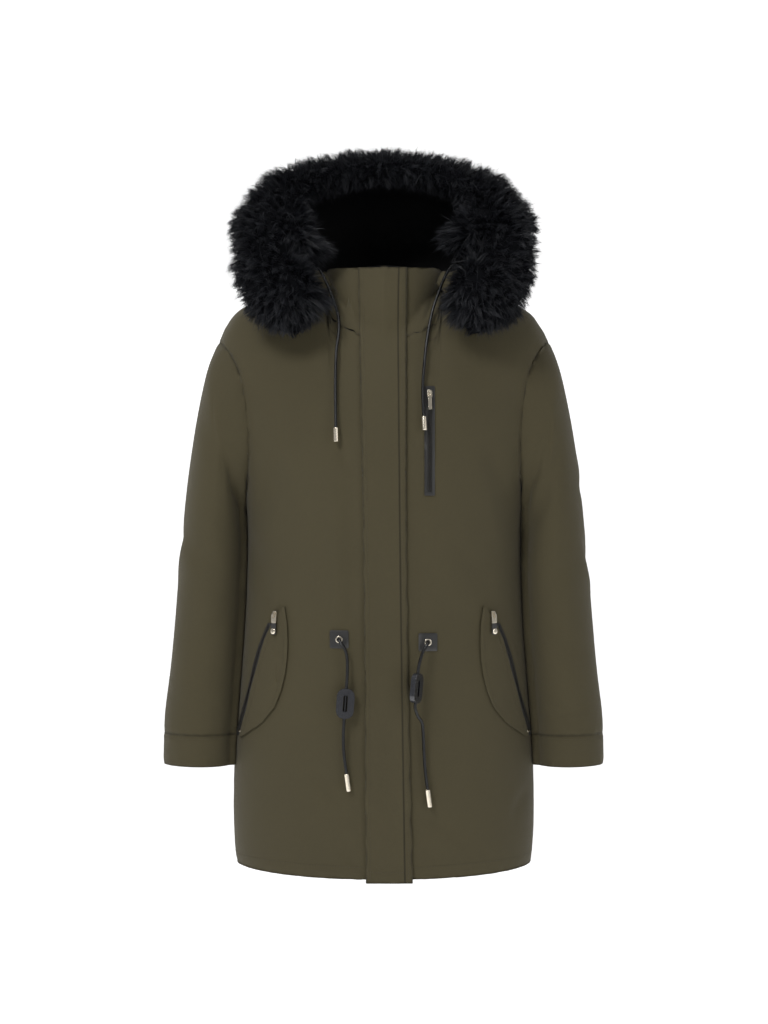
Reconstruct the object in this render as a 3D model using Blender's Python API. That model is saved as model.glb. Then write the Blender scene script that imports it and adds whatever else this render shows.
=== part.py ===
"""Fur trimmed parka, filled out as if worn, with no wearer inside.

Metres, +Z up. The front faces -Y and the wearer's right side is at -X. The origin is the middle of the neck
base, where the wearer's neck and shoulders hold the coat up. Every cut piece is a wall of its own, 0.3 mm
from the pieces that it is sewn to, and what lies on a front is cut from that front's own surface, moved out.
"""

import math
from typing import NamedTuple

import bmesh
import bpy
import numpy as np
from mathutils import Matrix, Vector

# --- Cloth -----------------------------------------------------------------------------------------------
GAP = 0.0003  # between pieces that are sewn or laid together
SHELL_CLOTH = 0.003  # lined and padded body cloth
HOOD_CLOTH = 0.002
LINING_CLOTH = 0.0012
PLACKET_CLOTH = 0.004  # two layers, turned and pressed
FLAP_CLOTH = 0.003
TAPE_CLOTH = 0.0014
LEATHER = 0.0014

# --- Body ------------------------------------------------------------------------------------------------
ROUNDNESS = 2.3  # exponent of the body's level sections: 2 is an ellipse, more is squarer
SIDE_HEM = -0.785
FRONT_HEM = -0.792
BACK_HEM = -0.790
NECK_SIDE = 0.075  # height where the neck seam meets the shoulder seam
ZIP_HALF = 0.006  # half the slot between the fronts, which the closing zip fills
NECK_COLUMNS = 3  # columns of cloth that end on the neck seam, beside the placket's own
SHOULDER_COLUMNS = 6  # columns that end on the shoulder seam
LOWER_ROWS = (-0.785, -0.745, -0.690, -0.625, -0.555, -0.485, -0.415, -0.350, -0.292)


class BodyRing(NamedTuple):
    """One level section of the body: where it is and how far it reaches sideways, forwards and back."""

    height: float
    half_width: float
    front: float
    back: float


BODY = (
    BodyRing(-0.800, 0.2185, 0.1355, 0.1215),
    BodyRing(-0.760, 0.2235, 0.1365, 0.1225),
    BodyRing(-0.700, 0.2250, 0.1380, 0.1230),
    BodyRing(-0.640, 0.2235, 0.1385, 0.1220),
    BodyRing(-0.560, 0.2185, 0.1380, 0.1180),
    BodyRing(-0.440, 0.2090, 0.1375, 0.1090),
    BodyRing(-0.340, 0.2045, 0.1380, 0.1110),
    BodyRing(-0.290, 0.2048, 0.1380, 0.1130),
    BodyRing(-0.245, 0.2075, 0.1375, 0.1150),
    BodyRing(-0.190, 0.2210, 0.1345, 0.1155),
    BodyRing(-0.130, 0.2345, 0.1270, 0.1140),
    BodyRing(-0.090, 0.2420, 0.1195, 0.1120),
    BodyRing(-0.055, 0.2465, 0.1095, 0.1085),
    BodyRing(-0.030, 0.2485, 0.1020, 0.1060),
    BodyRing(-0.012, 0.2480, 0.0960, 0.1025),
    BodyRing(0.0075, 0.2390, 0.0892, 0.0980),
    BodyRing(0.0225, 0.2305, 0.0823, 0.0932),
    BodyRing(0.0330, 0.2235, 0.0765, 0.0890),
    BodyRing(0.0410, 0.2080, 0.0715, 0.0850),
    BodyRing(0.0550, 0.1590, 0.0612, 0.0780),
    BodyRing(0.0650, 0.1230, 0.0520, 0.0720),
    BodyRing(0.0750, 0.0880, 0.0400, 0.0560),
)

# --- Neck and collar -------------------------------------------------------------------------------------
NECK_HALF = 0.088
NECK_FRONT = 0.095
NECK_BACK = 0.076
COLLAR_TOP_HALF = 0.086
COLLAR_TOP_FRONT = 0.081
COLLAR_TOP_BACK = 0.082
COLLAR_FRONT_HEIGHT = 0.091
COLLAR_SIDE_HEIGHT = 0.097
COLLAR_BACK_HEIGHT = 0.114
COLLAR_EASE = 0.003  # how far the collar's wall bows out at half its height
COLLAR_ROWS = 3

# --- Armholes and sleeves --------------------------------------------------------------------------------
ARM_TOP = -0.012
ARM_BOTTOM = -0.245
ARM_FRONT_SCOOP = 0.074
ARM_BACK_SCOOP = 0.066
ARM_SQUARENESS = 0.7  # power of the scoop's sine: 1 is an ellipse, less is squarer
ARM_STEPS = 10  # from the shoulder tip to the underarm; a sleeve has twice as many sides
SLEEVE_CLEAR = 0.0028  # between the sleeve's inner side and the body
CUFF_ROWS = 2


class SleeveOuter(NamedTuple):
    """A point of the sleeve's outer edge as it hangs."""

    height: float
    x: float


class SleeveRing(NamedTuple):
    """One section of the sleeve: its highest and lowest points and its reach forwards and back."""

    outer_height: float
    inner_height: float
    forward: float  # how far the section's middle lies in front of the shoulder
    front: float
    back: float


SLEEVE_EDGE = (
    SleeveOuter(-0.0120, 0.2480),
    SleeveOuter(-0.0225, 0.2525),
    SleeveOuter(-0.0375, 0.2580),
    SleeveOuter(-0.0675, 0.2670),
    SleeveOuter(-0.0975, 0.2735),
    SleeveOuter(-0.1420, 0.2820),
    SleeveOuter(-0.2320, 0.2945),
    SleeveOuter(-0.3220, 0.3030),
    SleeveOuter(-0.4420, 0.3125),
    SleeveOuter(-0.5170, 0.3195),
    SleeveOuter(-0.5770, 0.3255),
    SleeveOuter(-0.6600, 0.3265),
)
SLEEVE = (
    SleeveRing(-0.042, -0.262, 0.000, 0.0770, 0.0690),
    SleeveRing(-0.080, -0.281, 0.001, 0.0785, 0.0710),
    SleeveRing(-0.125, -0.304, 0.002, 0.0780, 0.0720),
    SleeveRing(-0.176, -0.332, 0.004, 0.0760, 0.0715),
    SleeveRing(-0.230, -0.364, 0.006, 0.0730, 0.0690),
    SleeveRing(-0.288, -0.400, 0.008, 0.0695, 0.0660),
    SleeveRing(-0.346, -0.437, 0.011, 0.0660, 0.0625),
    SleeveRing(-0.404, -0.473, 0.014, 0.0625, 0.0590),
    SleeveRing(-0.460, -0.509, 0.017, 0.0590, 0.0560),
    SleeveRing(-0.512, -0.543, 0.020, 0.0555, 0.0530),
    SleeveRing(-0.556, -0.572, 0.022, 0.0525, 0.0505),
    SleeveRing(-0.592, -0.594, 0.024, 0.0505, 0.0485),
)
CUFF_END = SleeveRing(-0.638, -0.640, 0.026, 0.0500, 0.0480)


# --- Placket ---------------------------------------------------------------------------------------------
class PlacketEdges(NamedTuple):
    """How far the storm flap reaches over the right front, where it is free, and over the left front."""

    height: float
    right: float
    left: float


PLACKET = (
    PlacketEdges(-0.800, 0.0250, 0.0405),
    PlacketEdges(-0.600, 0.0268, 0.0360),
    PlacketEdges(-0.260, 0.0292, 0.0318),
    PlacketEdges(0.000, 0.0358, 0.0326),
    PlacketEdges(0.100, 0.0380, 0.0330),
)
PLACKET_DROP = 0.005  # how far its lower end hangs below the hem

# --- Hood ------------------------------------------------------------------------------------------------
HOOD_START_TURN = math.radians(57)  # where the hood's seam on the collar begins, from the centre front
HOOD_START_SHARE = 0.30  # of the collar's height, at the front; the seam rises from there
HOOD_SEAM_SHARE = 0.80  # of the collar's height, round the sides and back
HOOD_COLUMNS = 20
HOOD_ROWS = 8
HOOD_CENTRE_COLUMNS = 4
HOOD_FACING_COLUMNS = 2  # at each front corner, which shows the shell's own cloth inside too
HOOD_SEAT = 0.0014  # between the collar's outer side and the hood


class HoodEdge(NamedTuple):
    """A point of the face edge on the left half, and how far the cloth behind it runs back and hangs down."""

    share: float  # 0 at the collar, 1 at the top of the arch
    x: float
    y: float
    z: float
    back: float
    drop: float


HOOD = (
    HoodEdge(0.00, 0.0920, -0.0600, 0.0520, 0.004, 0.002),
    HoodEdge(0.10, 0.1180, -0.0560, 0.0900, 0.008, 0.004),
    HoodEdge(0.20, 0.1400, -0.0380, 0.1120, 0.022, 0.010),
    HoodEdge(0.30, 0.1500, -0.0150, 0.1320, 0.060, 0.030),
    HoodEdge(0.45, 0.1540, 0.0100, 0.1640, 0.110, 0.090),
    HoodEdge(0.60, 0.1420, 0.0320, 0.1960, 0.145, 0.160),
    HoodEdge(0.80, 0.0840, 0.0540, 0.2350, 0.175, 0.240),
    HoodEdge(1.00, 0.0000, 0.0630, 0.2500, 0.185, 0.280),
)


# --- Fur -------------------------------------------------------------------------------------------------
class RuffRing(NamedTuple):
    """A section of the fur's reach on the left half: its middle, and its reach across and front to back."""

    x: float
    y: float
    z: float
    across: float
    deep: float


RUFF = (
    RuffRing(0.1260, -0.1240, 0.0020, 0.0340, 0.0240),
    RuffRing(0.1340, -0.1230, 0.0220, 0.0560, 0.0330),
    RuffRing(0.1470, -0.1180, 0.0480, 0.0660, 0.0360),
    RuffRing(0.1660, -0.1130, 0.0740, 0.0560, 0.0340),
    RuffRing(0.1800, -0.1060, 0.0960, 0.0500, 0.0320),
    RuffRing(0.1770, -0.0990, 0.1130, 0.0530, 0.0360),
    RuffRing(0.1610, -0.0830, 0.1350, 0.0740, 0.0420),
    RuffRing(0.1590, -0.0520, 0.1700, 0.0640, 0.0460),
    RuffRing(0.1480, -0.0260, 0.2080, 0.0440, 0.0470),
    RuffRing(0.1010, -0.0020, 0.2350, 0.0340, 0.0480),
    RuffRing(0.0500, 0.0080, 0.2480, 0.0315, 0.0480),
    RuffRing(0.0000, 0.0100, 0.2525, 0.0305, 0.0480),
)
RUFF_SIDES = 14
RUFF_END = (0.1240, -0.1250, -0.0140)

# --- Pockets ---------------------------------------------------------------------------------------------
POCKET_ZIP_WIDTH = 0.0060
POCKET_STEPS = 9


class PocketRow(NamedTuple):
    """How far out the flap's curved front edge and its zip edge are at one height."""

    height: float
    front: float
    zip: float


POCKET = (
    PocketRow(-0.4030, 0.1435, 0.1465),
    PocketRow(-0.4320, 0.1395, 0.1650),
    PocketRow(-0.4600, 0.1390, 0.1765),
    PocketRow(-0.4900, 0.1415, 0.1850),
    PocketRow(-0.5210, 0.1480, 0.1925),
    PocketRow(-0.5500, 0.1600, 0.2000),
    PocketRow(-0.5780, 0.1840, 0.2090),
    PocketRow(-0.5950, 0.2090, 0.2130),
)


# --- Folds -----------------------------------------------------------------------------------------------
class Fold(NamedTuple):
    """A broad soft fold: the line in x and z along which a piece's cloth sinks."""

    piece: str
    start: tuple
    end: tuple
    half_width: float
    depth: float


FOLDS = (
    Fold("sleeve_left", (0.246, -0.190), (0.212, -0.300), 0.022, 0.0050),
    Fold("sleeve_left", (0.262, -0.335), (0.305, -0.375), 0.024, 0.0030),
    Fold("sleeve_right", (-0.250, -0.165), (-0.224, -0.290), 0.024, 0.0045),
    Fold("sleeve_right", (-0.300, -0.270), (-0.258, -0.330), 0.024, 0.0030),
    Fold("sleeve_right", (-0.290, -0.440), (-0.250, -0.480), 0.026, 0.0025),
    Fold("front_right", (-0.082, -0.140), (-0.042, -0.240), 0.024, 0.0030),
    Fold("front_right", (-0.205, -0.100), (-0.168, -0.220), 0.026, 0.0035),
    Fold("front_left", (0.200, -0.090), (0.160, -0.200), 0.026, 0.0035),
    Fold("back", (-0.150, -0.110), (-0.070, -0.250), 0.030, 0.0040),
    Fold("back", (0.165, -0.120), (0.100, -0.230), 0.028, 0.0035),
    Fold("back", (-0.100, -0.430), (0.050, -0.390), 0.036, 0.0035),
)

# --- Chest zip -------------------------------------------------------------------------------------------
CHEST_X = 0.0655
CHEST_TOP = -0.0840
CHEST_BOTTOM = -0.2420
CHEST_WIDTH = 0.0150
CHEST_SLOT_WIDTH = 0.0060
CHEST_SLOT_INSET = 0.0050

# --- Hardware --------------------------------------------------------------------------------------------
SLIDER_WIDTH = 0.0070
SLIDER_LENGTH = 0.0105
SLIDER_BASE = 0.0022
ARCH_WIDTH = 0.0016
ARCH_HALF = 0.0035
ARCH_RISE = 0.0036
ARCH_BAR = 0.0013
PIVOT_RISE = 0.0012  # of a pull's axis over the slider's base
PULL_PLATE = 0.0012
PULL_WINDOW = 0.0048
CHEST_PULL_LENGTH = 0.0250
CHEST_PULL_WIDTH = 0.0052
RING_LENGTH = 0.0130
RING_WIDTH = 0.0086
TAB_LENGTH = 0.0165
TAB_WIDTH = 0.0085
TAB_THICKNESS = 0.0018
STUD_RADIUS = 0.0043
EYELET_OUTER = 0.0052
EYELET_INNER = 0.0031
EYELET_RISE = 0.0012
SNAP_RADIUS = 0.0060
SNAP_SHARE = 0.055  # where the snap is on the hood: along its edge, and back from it
SNAP_BACK = 0.22
CORD_DIAMETER = 0.0045
CORD_STEP = 2.5  # diameters between two points of a cord's solid
TIP_RADIUS = 0.0037
TOGGLE_WIDTH = 0.0255
TOGGLE_LENGTH = 0.0430
TOGGLE_THICKNESS = 0.0075
TOGGLE_SLOT_WIDTH = 0.0062
TOGGLE_SLOT_LENGTH = 0.0240
CORD_CHANNEL = 0.0056
PATCH_WIDTH = 0.0270
PATCH_HEIGHT = 0.0255
SIDES = {"right": -1, "left": 1}

# The cords' routes, from where they leave the cloth to the metal tip, as points chosen by hand.
HOOD_CORD_RIGHT = (
    (-0.1090, -0.0660, 0.0995),
    (-0.1020, -0.0675, 0.0970),
    (-0.0945, -0.0690, 0.0900),
    (-0.0850, -0.0720, 0.0720),
    (-0.0750, -0.0775, 0.0480),
    (-0.0665, -0.0880, 0.0190),
    (-0.0655, -0.0975, -0.0040),
    (-0.0690, -0.1090, -0.0340),
    (-0.0700, -0.1210, -0.0810),
    (-0.0695, -0.1285, -0.1180),
    (-0.0690, -0.1325, -0.1440),
)
HOOD_CORD_LEFT = (
    (0.1090, -0.0660, 0.0998),
    (0.1025, -0.0675, 0.0970),
    (0.0955, -0.0690, 0.0900),
    (0.0870, -0.0715, 0.0740),
    (0.0790, -0.0765, 0.0530),
    (0.0710, -0.0850, 0.0290),
    (0.0640, -0.0980, -0.0040),
    (0.0595, -0.1110, -0.0380),
    (0.0560, -0.1220, -0.0800),
    (0.0560, -0.1280, -0.1080),
    (0.0570, -0.1320, -0.1280),
)
WAIST_CORD_RIGHT = (
    (-0.0642, -0.1372, -0.4480),
    (-0.0650, -0.1420, -0.4482),
    (-0.0620, -0.1450, -0.4520),
    (-0.0555, -0.1455, -0.4620),
    (-0.0525, -0.1452, -0.4760),
    (-0.0524, -0.1450, -0.4980),
    (-0.0535, -0.1450, -0.5150),
    (-0.0546, -0.1450, -0.5310),
    (-0.0558, -0.1450, -0.5470),
    (-0.0569, -0.1450, -0.5630),
    (-0.0580, -0.1440, -0.5850),
    (-0.0573, -0.1433, -0.6095),
    (-0.0536, -0.1428, -0.6391),
)
WAIST_CORD_LEFT = (
    (0.0630, -0.1367, -0.4520),
    (0.0638, -0.1415, -0.4522),
    (0.0612, -0.1460, -0.4555),
    (0.0560, -0.1500, -0.4640),
    (0.0512, -0.1535, -0.4780),
    (0.0485, -0.1555, -0.4920),
    (0.0472, -0.1564, -0.5076),
    (0.0458, -0.1574, -0.5233),
    (0.0443, -0.1584, -0.5400),
    (0.0442, -0.1586, -0.5440),
    (0.0482, -0.1540, -0.5560),
    (0.0545, -0.1470, -0.5670),
    (0.0562, -0.1440, -0.5880),
    (0.0574, -0.1433, -0.6150),
    (0.0592, -0.1430, -0.6380),
    (0.0622, -0.1425, -0.6618),
)
HOOD_TIP_LENGTH = 0.0210
WAIST_TIP_LENGTH = 0.0255


# --- Finishes --------------------------------------------------------------------------------------------
class Finish(NamedTuple):
    """A material's colour, roughness and metallic value."""

    colour: tuple
    roughness: float
    metallic: float = 0.0


FINISHES = {
    "olive_cloth": Finish((0.072, 0.061, 0.038), 0.85),
    "black_lining": Finish((0.006, 0.006, 0.007), 0.9),
    "black_fur": Finish((0.008, 0.009, 0.012), 0.8),
    "black_cord": Finish((0.012, 0.012, 0.013), 0.6),
    "grey_leather": Finish((0.030, 0.029, 0.030), 0.45),
    "zip_tape": Finish((0.020, 0.019, 0.018), 0.7),
    "pale_gold": Finish((0.74, 0.68, 0.58), 0.25, 1.0),
}


def clear_scene():
    """Removes what the file starts with."""
    for old in list(bpy.data.objects):
        bpy.data.objects.remove(old)


def material(name):
    """The named finish as a material, made once."""
    found = bpy.data.materials.get(name)
    if found:
        return found
    finish = FINISHES[name]
    made = bpy.data.materials.new(name)
    made.use_nodes = True
    shader = made.node_tree.nodes["Principled BSDF"]
    shader.inputs["Base Color"].default_value = (*finish.colour, 1.0)
    shader.inputs["Roughness"].default_value = finish.roughness
    shader.inputs["Metallic"].default_value = finish.metallic
    return made


def add_object(name, data, finish):
    """Links an object that shows data with a finish."""
    made = bpy.data.objects.new(name, data)
    bpy.context.scene.collection.objects.link(made)
    if finish:
        data.materials.append(material(finish))
    return made


# --- Smooth curves through tables --------------------------------------------------------------------------
def monotone(at, values):
    """A smooth function through (at, values) that never swings past a value."""
    at = np.array(at, float)
    values = np.array(values, float)
    step = np.diff(at)
    slope = np.diff(values) / step
    tangent = np.zeros(len(at))
    tangent[0] = slope[0]
    tangent[-1] = slope[-1]
    for i in range(1, len(at) - 1):
        before, after = slope[i - 1], slope[i]
        if before * after > 0:
            tangent[i] = 2 * before * after / (before + after)

    def value(x):
        i = int(np.clip(np.searchsorted(at, x) - 1, 0, len(step) - 1))
        t = min(max((x - at[i]) / step[i], 0.0), 1.0)
        rise = values[i + 1] - values[i]
        cubic = t * t * (3 - 2 * t) * rise
        left = t * (1 - t) ** 2 * tangent[i] * step[i]
        right = t * t * (t - 1) * tangent[i + 1] * step[i]
        return values[i] + cubic + left + right

    return value


def column(rows, key, name):
    """The named column of a table, as a smooth function of its key column."""
    return monotone([getattr(row, key) for row in rows], [getattr(row, name) for row in rows])


def through(points, count):
    """count points, evenly spaced along a smooth curve through the given ones."""
    points = np.array(points, float)
    first = 2 * points[0] - points[1]
    last = 2 * points[-1] - points[-2]
    padded = np.vstack([first, points, last])
    fine = []
    for i in range(1, len(padded) - 2):
        before, start, end, after = padded[i - 1 : i + 3]
        for t in np.linspace(0, 1, 24, endpoint=False):
            bend = 2 * before - 5 * start + 4 * end - after
            twist = 3 * start - before - 3 * end + after
            fine.append(start + 0.5 * t * (end - before + t * (bend + t * twist)))
    fine = np.array([*fine, points[-1]])
    walked = np.concatenate([[0], np.cumsum(np.linalg.norm(np.diff(fine, axis=0), axis=1))])
    wanted = np.linspace(0, walked[-1], count)
    return np.stack([np.interp(wanted, walked, fine[:, k]) for k in range(3)], axis=1)


def unit(v):
    """v at length 1."""
    return v / np.linalg.norm(v)


def smoothstep(t):
    """0 before 0, 1 after 1, and a smooth rise between."""
    t = min(max(t, 0.0), 1.0)
    return t * t * (3 - 2 * t)


HALF_WIDTH = column(BODY, "height", "half_width")
FRONT_DEPTH = column(BODY, "height", "front")
BACK_DEPTH = column(BODY, "height", "back")
SLEEVE_OUTER_X = column(SLEEVE_EDGE[::-1], "height", "x")
PLACKET_RIGHT = column(PLACKET, "height", "right")
PLACKET_LEFT = column(PLACKET, "height", "left")


# --- The body's surface ----------------------------------------------------------------------------------
def depth_at(angle, height):
    """The reach forwards or back of the section at this height, by which half the angle is on."""
    return FRONT_DEPTH(height) if angle < math.pi / 2 else BACK_DEPTH(height)


def body_point(angle, height):
    """A point of the left half's surface; angle runs from 0 at the centre front to pi at the centre back."""
    power = 2 / ROUNDNESS
    x = HALF_WIDTH(height) * math.sin(angle) ** power
    along = math.cos(angle)
    y = -math.copysign(depth_at(angle, height) * abs(along) ** power, along)
    return np.array([x, y, height])


def body_normal(point):
    """The outward normal of the body's surface at a point on it."""
    x, y, z = point
    depth = FRONT_DEPTH if y < 0 else BACK_DEPTH
    step = 0.002
    width_growth = (HALF_WIDTH(z + step) - HALF_WIDTH(z - step)) / (2 * step)
    depth_growth = (depth(z + step) - depth(z - step)) / (2 * step)
    wide = abs(x) / HALF_WIDTH(z)
    far = abs(y) / depth(z)
    across = math.copysign(wide ** (ROUNDNESS - 1) / HALF_WIDTH(z), x)
    out = math.copysign(far ** (ROUNDNESS - 1) / depth(z), y)
    up = -(wide**ROUNDNESS * width_growth / HALF_WIDTH(z) + far**ROUNDNESS * depth_growth / depth(z))
    return unit(np.array([across, out, up]))


def angle_at_x(x, height):
    """The angle on the front where the surface is x from the middle."""
    share = min(x / HALF_WIDTH(height), 1.0)
    return math.asin(share ** (ROUNDNESS / 2))


def angle_at_y(y, height):
    """The angle where the surface is y in front of or behind the middle."""
    depth = FRONT_DEPTH(height) if y < 0 else BACK_DEPTH(height)
    angle = math.acos(min(abs(y) / depth, 1.0) ** (ROUNDNESS / 2))
    return angle if y < 0 else math.pi - angle


def neck_point(turn):
    """A point of the neck seam on the left half; turn runs from 0 at the centre front to pi at the back."""
    x = NECK_HALF * math.sin(turn)
    reach = NECK_FRONT if turn < math.pi / 2 else NECK_BACK
    y = -reach * math.cos(turn)
    depth = FRONT_DEPTH if turn < math.pi / 2 else BACK_DEPTH
    low, high = -0.05, NECK_SIDE
    for _ in range(40):
        middle = (low + high) / 2
        filled = (x / HALF_WIDTH(middle)) ** ROUNDNESS + (abs(y) / depth(middle)) ** ROUNDNESS
        if filled < 1:
            low = middle
        else:
            high = middle
    return np.array([x, y, low])


def armhole_height(turn):
    """The armhole's height; turn is 0 at the shoulder tip and pi at the underarm."""
    return (ARM_TOP + ARM_BOTTOM) / 2 + (ARM_TOP - ARM_BOTTOM) / 2 * math.cos(turn)


def armhole_reach(turn):
    """How far the armhole is behind the shoulder tip, and so less than 0 on the front."""
    scoop = ARM_FRONT_SCOOP if turn < math.pi else ARM_BACK_SCOOP
    return -scoop * math.copysign(abs(math.sin(turn)) ** ARM_SQUARENESS, math.sin(turn))


def armhole_point(turn):
    """A point of the armhole on the left half; the turn goes down the front, then up the back to 2 pi."""
    height = armhole_height(turn)
    return body_point(angle_at_y(armhole_reach(turn), height), height)


ARM_TURNS = [math.pi * step / ARM_STEPS for step in range(ARM_STEPS, -1, -1)]


def edge_points(front):
    """The side seam and armhole of the left front or back, from the hem up."""
    points = [body_point(math.pi / 2, height) for height in LOWER_ROWS]
    turns = ARM_TURNS if front else [2 * math.pi - turn for turn in ARM_TURNS]
    return np.array(points + [armhole_point(turn) for turn in turns])


def shoulder_points():
    """The shoulder seam's column ends, evenly spaced from just past the neck to the tip."""
    heights = np.linspace(NECK_SIDE, ARM_TOP, 80)
    seam = np.array([body_point(math.pi / 2, height) for height in heights])
    walked = np.concatenate([[0], np.cumsum(np.linalg.norm(np.diff(seam, axis=0), axis=1))])
    wanted = np.linspace(0, walked[-1], SHOULDER_COLUMNS + 1)[1:]
    return np.array([body_point(math.pi / 2, height) for height in np.interp(wanted, walked, heights)])


def placket_reach(side, height):
    """How far the placket reaches to one side of the middle."""
    return PLACKET_RIGHT(height) if side < 0 else PLACKET_LEFT(height)


def neck_turns(front, side):
    """Where a panel's columns meet the neck seam, from the middle outwards."""
    if not front:
        return np.linspace(math.pi, math.pi / 2, NECK_COLUMNS + 1)
    placket_turn = math.asin(placket_reach(side, 0.0) / NECK_HALF)
    outer = np.linspace(placket_turn, math.pi / 2, NECK_COLUMNS + 1)
    return np.array([math.asin(ZIP_HALF / NECK_HALF), *outer])


def onto_body(point):
    """The body's surface point nearest to one that is near it."""
    for _ in range(8):
        x, y, z = point
        depth = FRONT_DEPTH if y < 0 else BACK_DEPTH
        filled = (abs(x) / HALF_WIDTH(z)) ** ROUNDNESS + (abs(y) / depth(z)) ** ROUNDNESS
        size = filled ** (1 / ROUNDNESS)
        normal = body_normal(point)
        reach = normal[0] * x + normal[1] * y
        point = point + normal * reach * (1 / size - 1) * 0.9
    return point


def column_points(reach, top, hem, shares):
    """A column of the front at a given reach from the middle, from the hem up to the neck seam."""
    heights = [hem + share * (top[2] - hem) for share in shares]
    return np.array([body_point(angle_at_x(reach(height), height), height) for height in heights])


def half_panel(front, side):
    """Points of the front or back on the left half, as rows from the hem up and columns from the middle out.

    The four edges are the hem, the middle or the placket's edge, the side seam with the armhole, and the neck
    with the shoulder seam. The points between are blended from all four and moved onto the body's surface.
    """
    turns = neck_turns(front, side)
    neck = np.array([neck_point(turn) for turn in turns])
    top = np.concatenate([neck[1:] if front else neck, shoulder_points()])
    right = edge_points(front)
    walked = np.concatenate([[0], np.cumsum(np.linalg.norm(np.diff(right, axis=0), axis=1))])
    shares = walked / walked[-1]
    middle_hem = FRONT_HEM if front else BACK_HEM
    if front:
        left = column_points(lambda z: placket_reach(side, z), top[0], middle_hem, shares)
        start = angle_at_x(placket_reach(side, middle_hem), middle_hem)
    else:
        heights = middle_hem + shares * (top[0][2] - middle_hem)
        left = np.array([body_point(math.pi, height) for height in heights])
        start = math.pi
    evens = np.linspace(0, 1, len(top))
    hems = middle_hem + (SIDE_HEM - middle_hem) * np.sin(evens * math.pi / 2) ** 2
    bottom = [body_point(start + (math.pi / 2 - start) * u, height) for u, height in zip(evens, hems)]
    rows = []
    for row, v in enumerate(shares):
        points = []
        for number, u in enumerate(evens):
            corners = (1 - u) * (1 - v) * bottom[0] + u * (1 - v) * bottom[-1]
            corners = corners + (1 - u) * v * top[0] + u * v * top[-1]
            blend = (1 - v) * bottom[number] + v * top[number] + (1 - u) * left[row] + u * right[row]
            on_edge = row in (0, len(shares) - 1) or number in (0, len(top) - 1)
            points.append(blend - corners if on_edge else onto_body(blend - corners))
        rows.append(points)
    rows = np.array(rows)
    if not front:
        return rows
    zip_edge = column_points(lambda z: ZIP_HALF, neck[0], middle_hem, shares)
    return np.concatenate([zip_edge[:, None], rows], axis=1)


def mirrored(points):
    """The same points on the other side of the middle plane."""
    return points * np.array([-1.0, 1.0, 1.0])


def folded(piece, points, fixed_columns=(1, 1), round_columns=False):
    """The grid with the piece's folds sunk into its front, or its back; its edges stay where they are."""
    toward_back = 1 if piece == "back" else -1
    inner = np.zeros(points.shape[:2])
    first, last = (0, points.shape[1]) if round_columns else fixed_columns
    inner[1:-1, first : points.shape[1] - (0 if round_columns else last)] = 1
    moved = points.copy()
    for fold in FOLDS:
        if fold.piece != piece:
            continue
        start, end = np.array(fold.start), np.array(fold.end)
        way = end - start
        flat = points[:, :, [0, 2]]
        along = np.clip(((flat - start) @ way) / (way @ way), 0, 1)
        away = np.linalg.norm(flat - (start + along[:, :, None] * way), axis=2)
        facing = points[:, :, 1] * toward_back > (-0.01 if round_columns else -1)
        sink = fold.depth * np.exp(-((away / fold.half_width) ** 2)) * inner * facing
        moved[:, :, 1] -= toward_back * sink
    return moved


def front_points(side):
    """The outer surface of one front."""
    points = half_panel(True, side)
    points = points if side > 0 else mirrored(points)
    return folded("front_left" if side > 0 else "front_right", points, fixed_columns=(2, 1))


def back_points():
    """The outer surface of the back, from the wearer's right side to the left."""
    left = half_panel(False, 1)
    return folded("back", np.concatenate([mirrored(left)[:, :0:-1], left], axis=1))


def body_normals(points):
    """The body's normals at a grid of points."""
    return np.array([[body_normal(point) for point in row] for row in points])


def draw_in(points, first_row=False, last_row=False, first_column=False, last_column=False):
    """Moves the named edges of a grid half a gap inwards, where another piece is sewn on."""
    moved = points.copy()
    half = GAP / 2

    def shift(edge, inside):
        way = inside - edge
        length = np.linalg.norm(way, axis=1)[:, None]
        return edge + way / np.maximum(length, 1e-9) * half

    if first_row:
        moved[0] = shift(moved[0], points[1])
    if last_row:
        moved[-1] = shift(moved[-1], points[-2])
    if first_column:
        moved[:, 0] = shift(moved[:, 0], points[:, 1])
    if last_column:
        moved[:, -1] = shift(moved[:, -1], points[:, -2])
    return moved


# --- Walls -----------------------------------------------------------------------------------------------
def grid_normals(points, round_columns):
    """Normals of any grid, by its neighbours; round_columns says that the last column meets the first."""
    if round_columns:
        across = np.roll(points, -1, axis=1) - np.roll(points, 1, axis=1)
    else:
        across = np.gradient(points, axis=1)
    along = np.gradient(points, axis=0)
    normals = np.cross(across, along)
    return normals / np.maximum(np.linalg.norm(normals, axis=2), 1e-12)[:, :, None]


def wall_mesh(name, outer, inner, round_columns=False):
    """A closed wall between two grids, as triangles whose diagonals all run the same way."""
    rows, columns = outer.shape[:2]
    count = rows * columns
    span = columns if round_columns else columns - 1
    faces = []

    def add(a, b, c, d):
        faces.append((a, b, c))
        faces.append((a, c, d))

    for row in range(rows - 1):
        for number in range(span):
            after = (number + 1) % columns
            a, b = row * columns + number, row * columns + after
            d, c = a + columns, b + columns
            add(a, b, c, d)
            add(a + count, d + count, c + count, b + count)
    for number in range(span):
        after = (number + 1) % columns
        top = (rows - 1) * columns
        add(number, number + count, after + count, after)
        add(top + number, top + after, top + after + count, top + number + count)
    if not round_columns:
        for row in range(rows - 1):
            low, high = row * columns, (row + 1) * columns
            add(low, high, high + count, low + count)
            last, next_last = low + columns - 1, high + columns - 1
            add(last, last + count, next_last + count, next_last)
    mesh = bpy.data.meshes.new(name)
    points = np.concatenate([outer.reshape(-1, 3), inner.reshape(-1, 3)])
    mesh.from_pydata([tuple(p) for p in points], [], faces)
    return facing_out(mesh)


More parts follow.
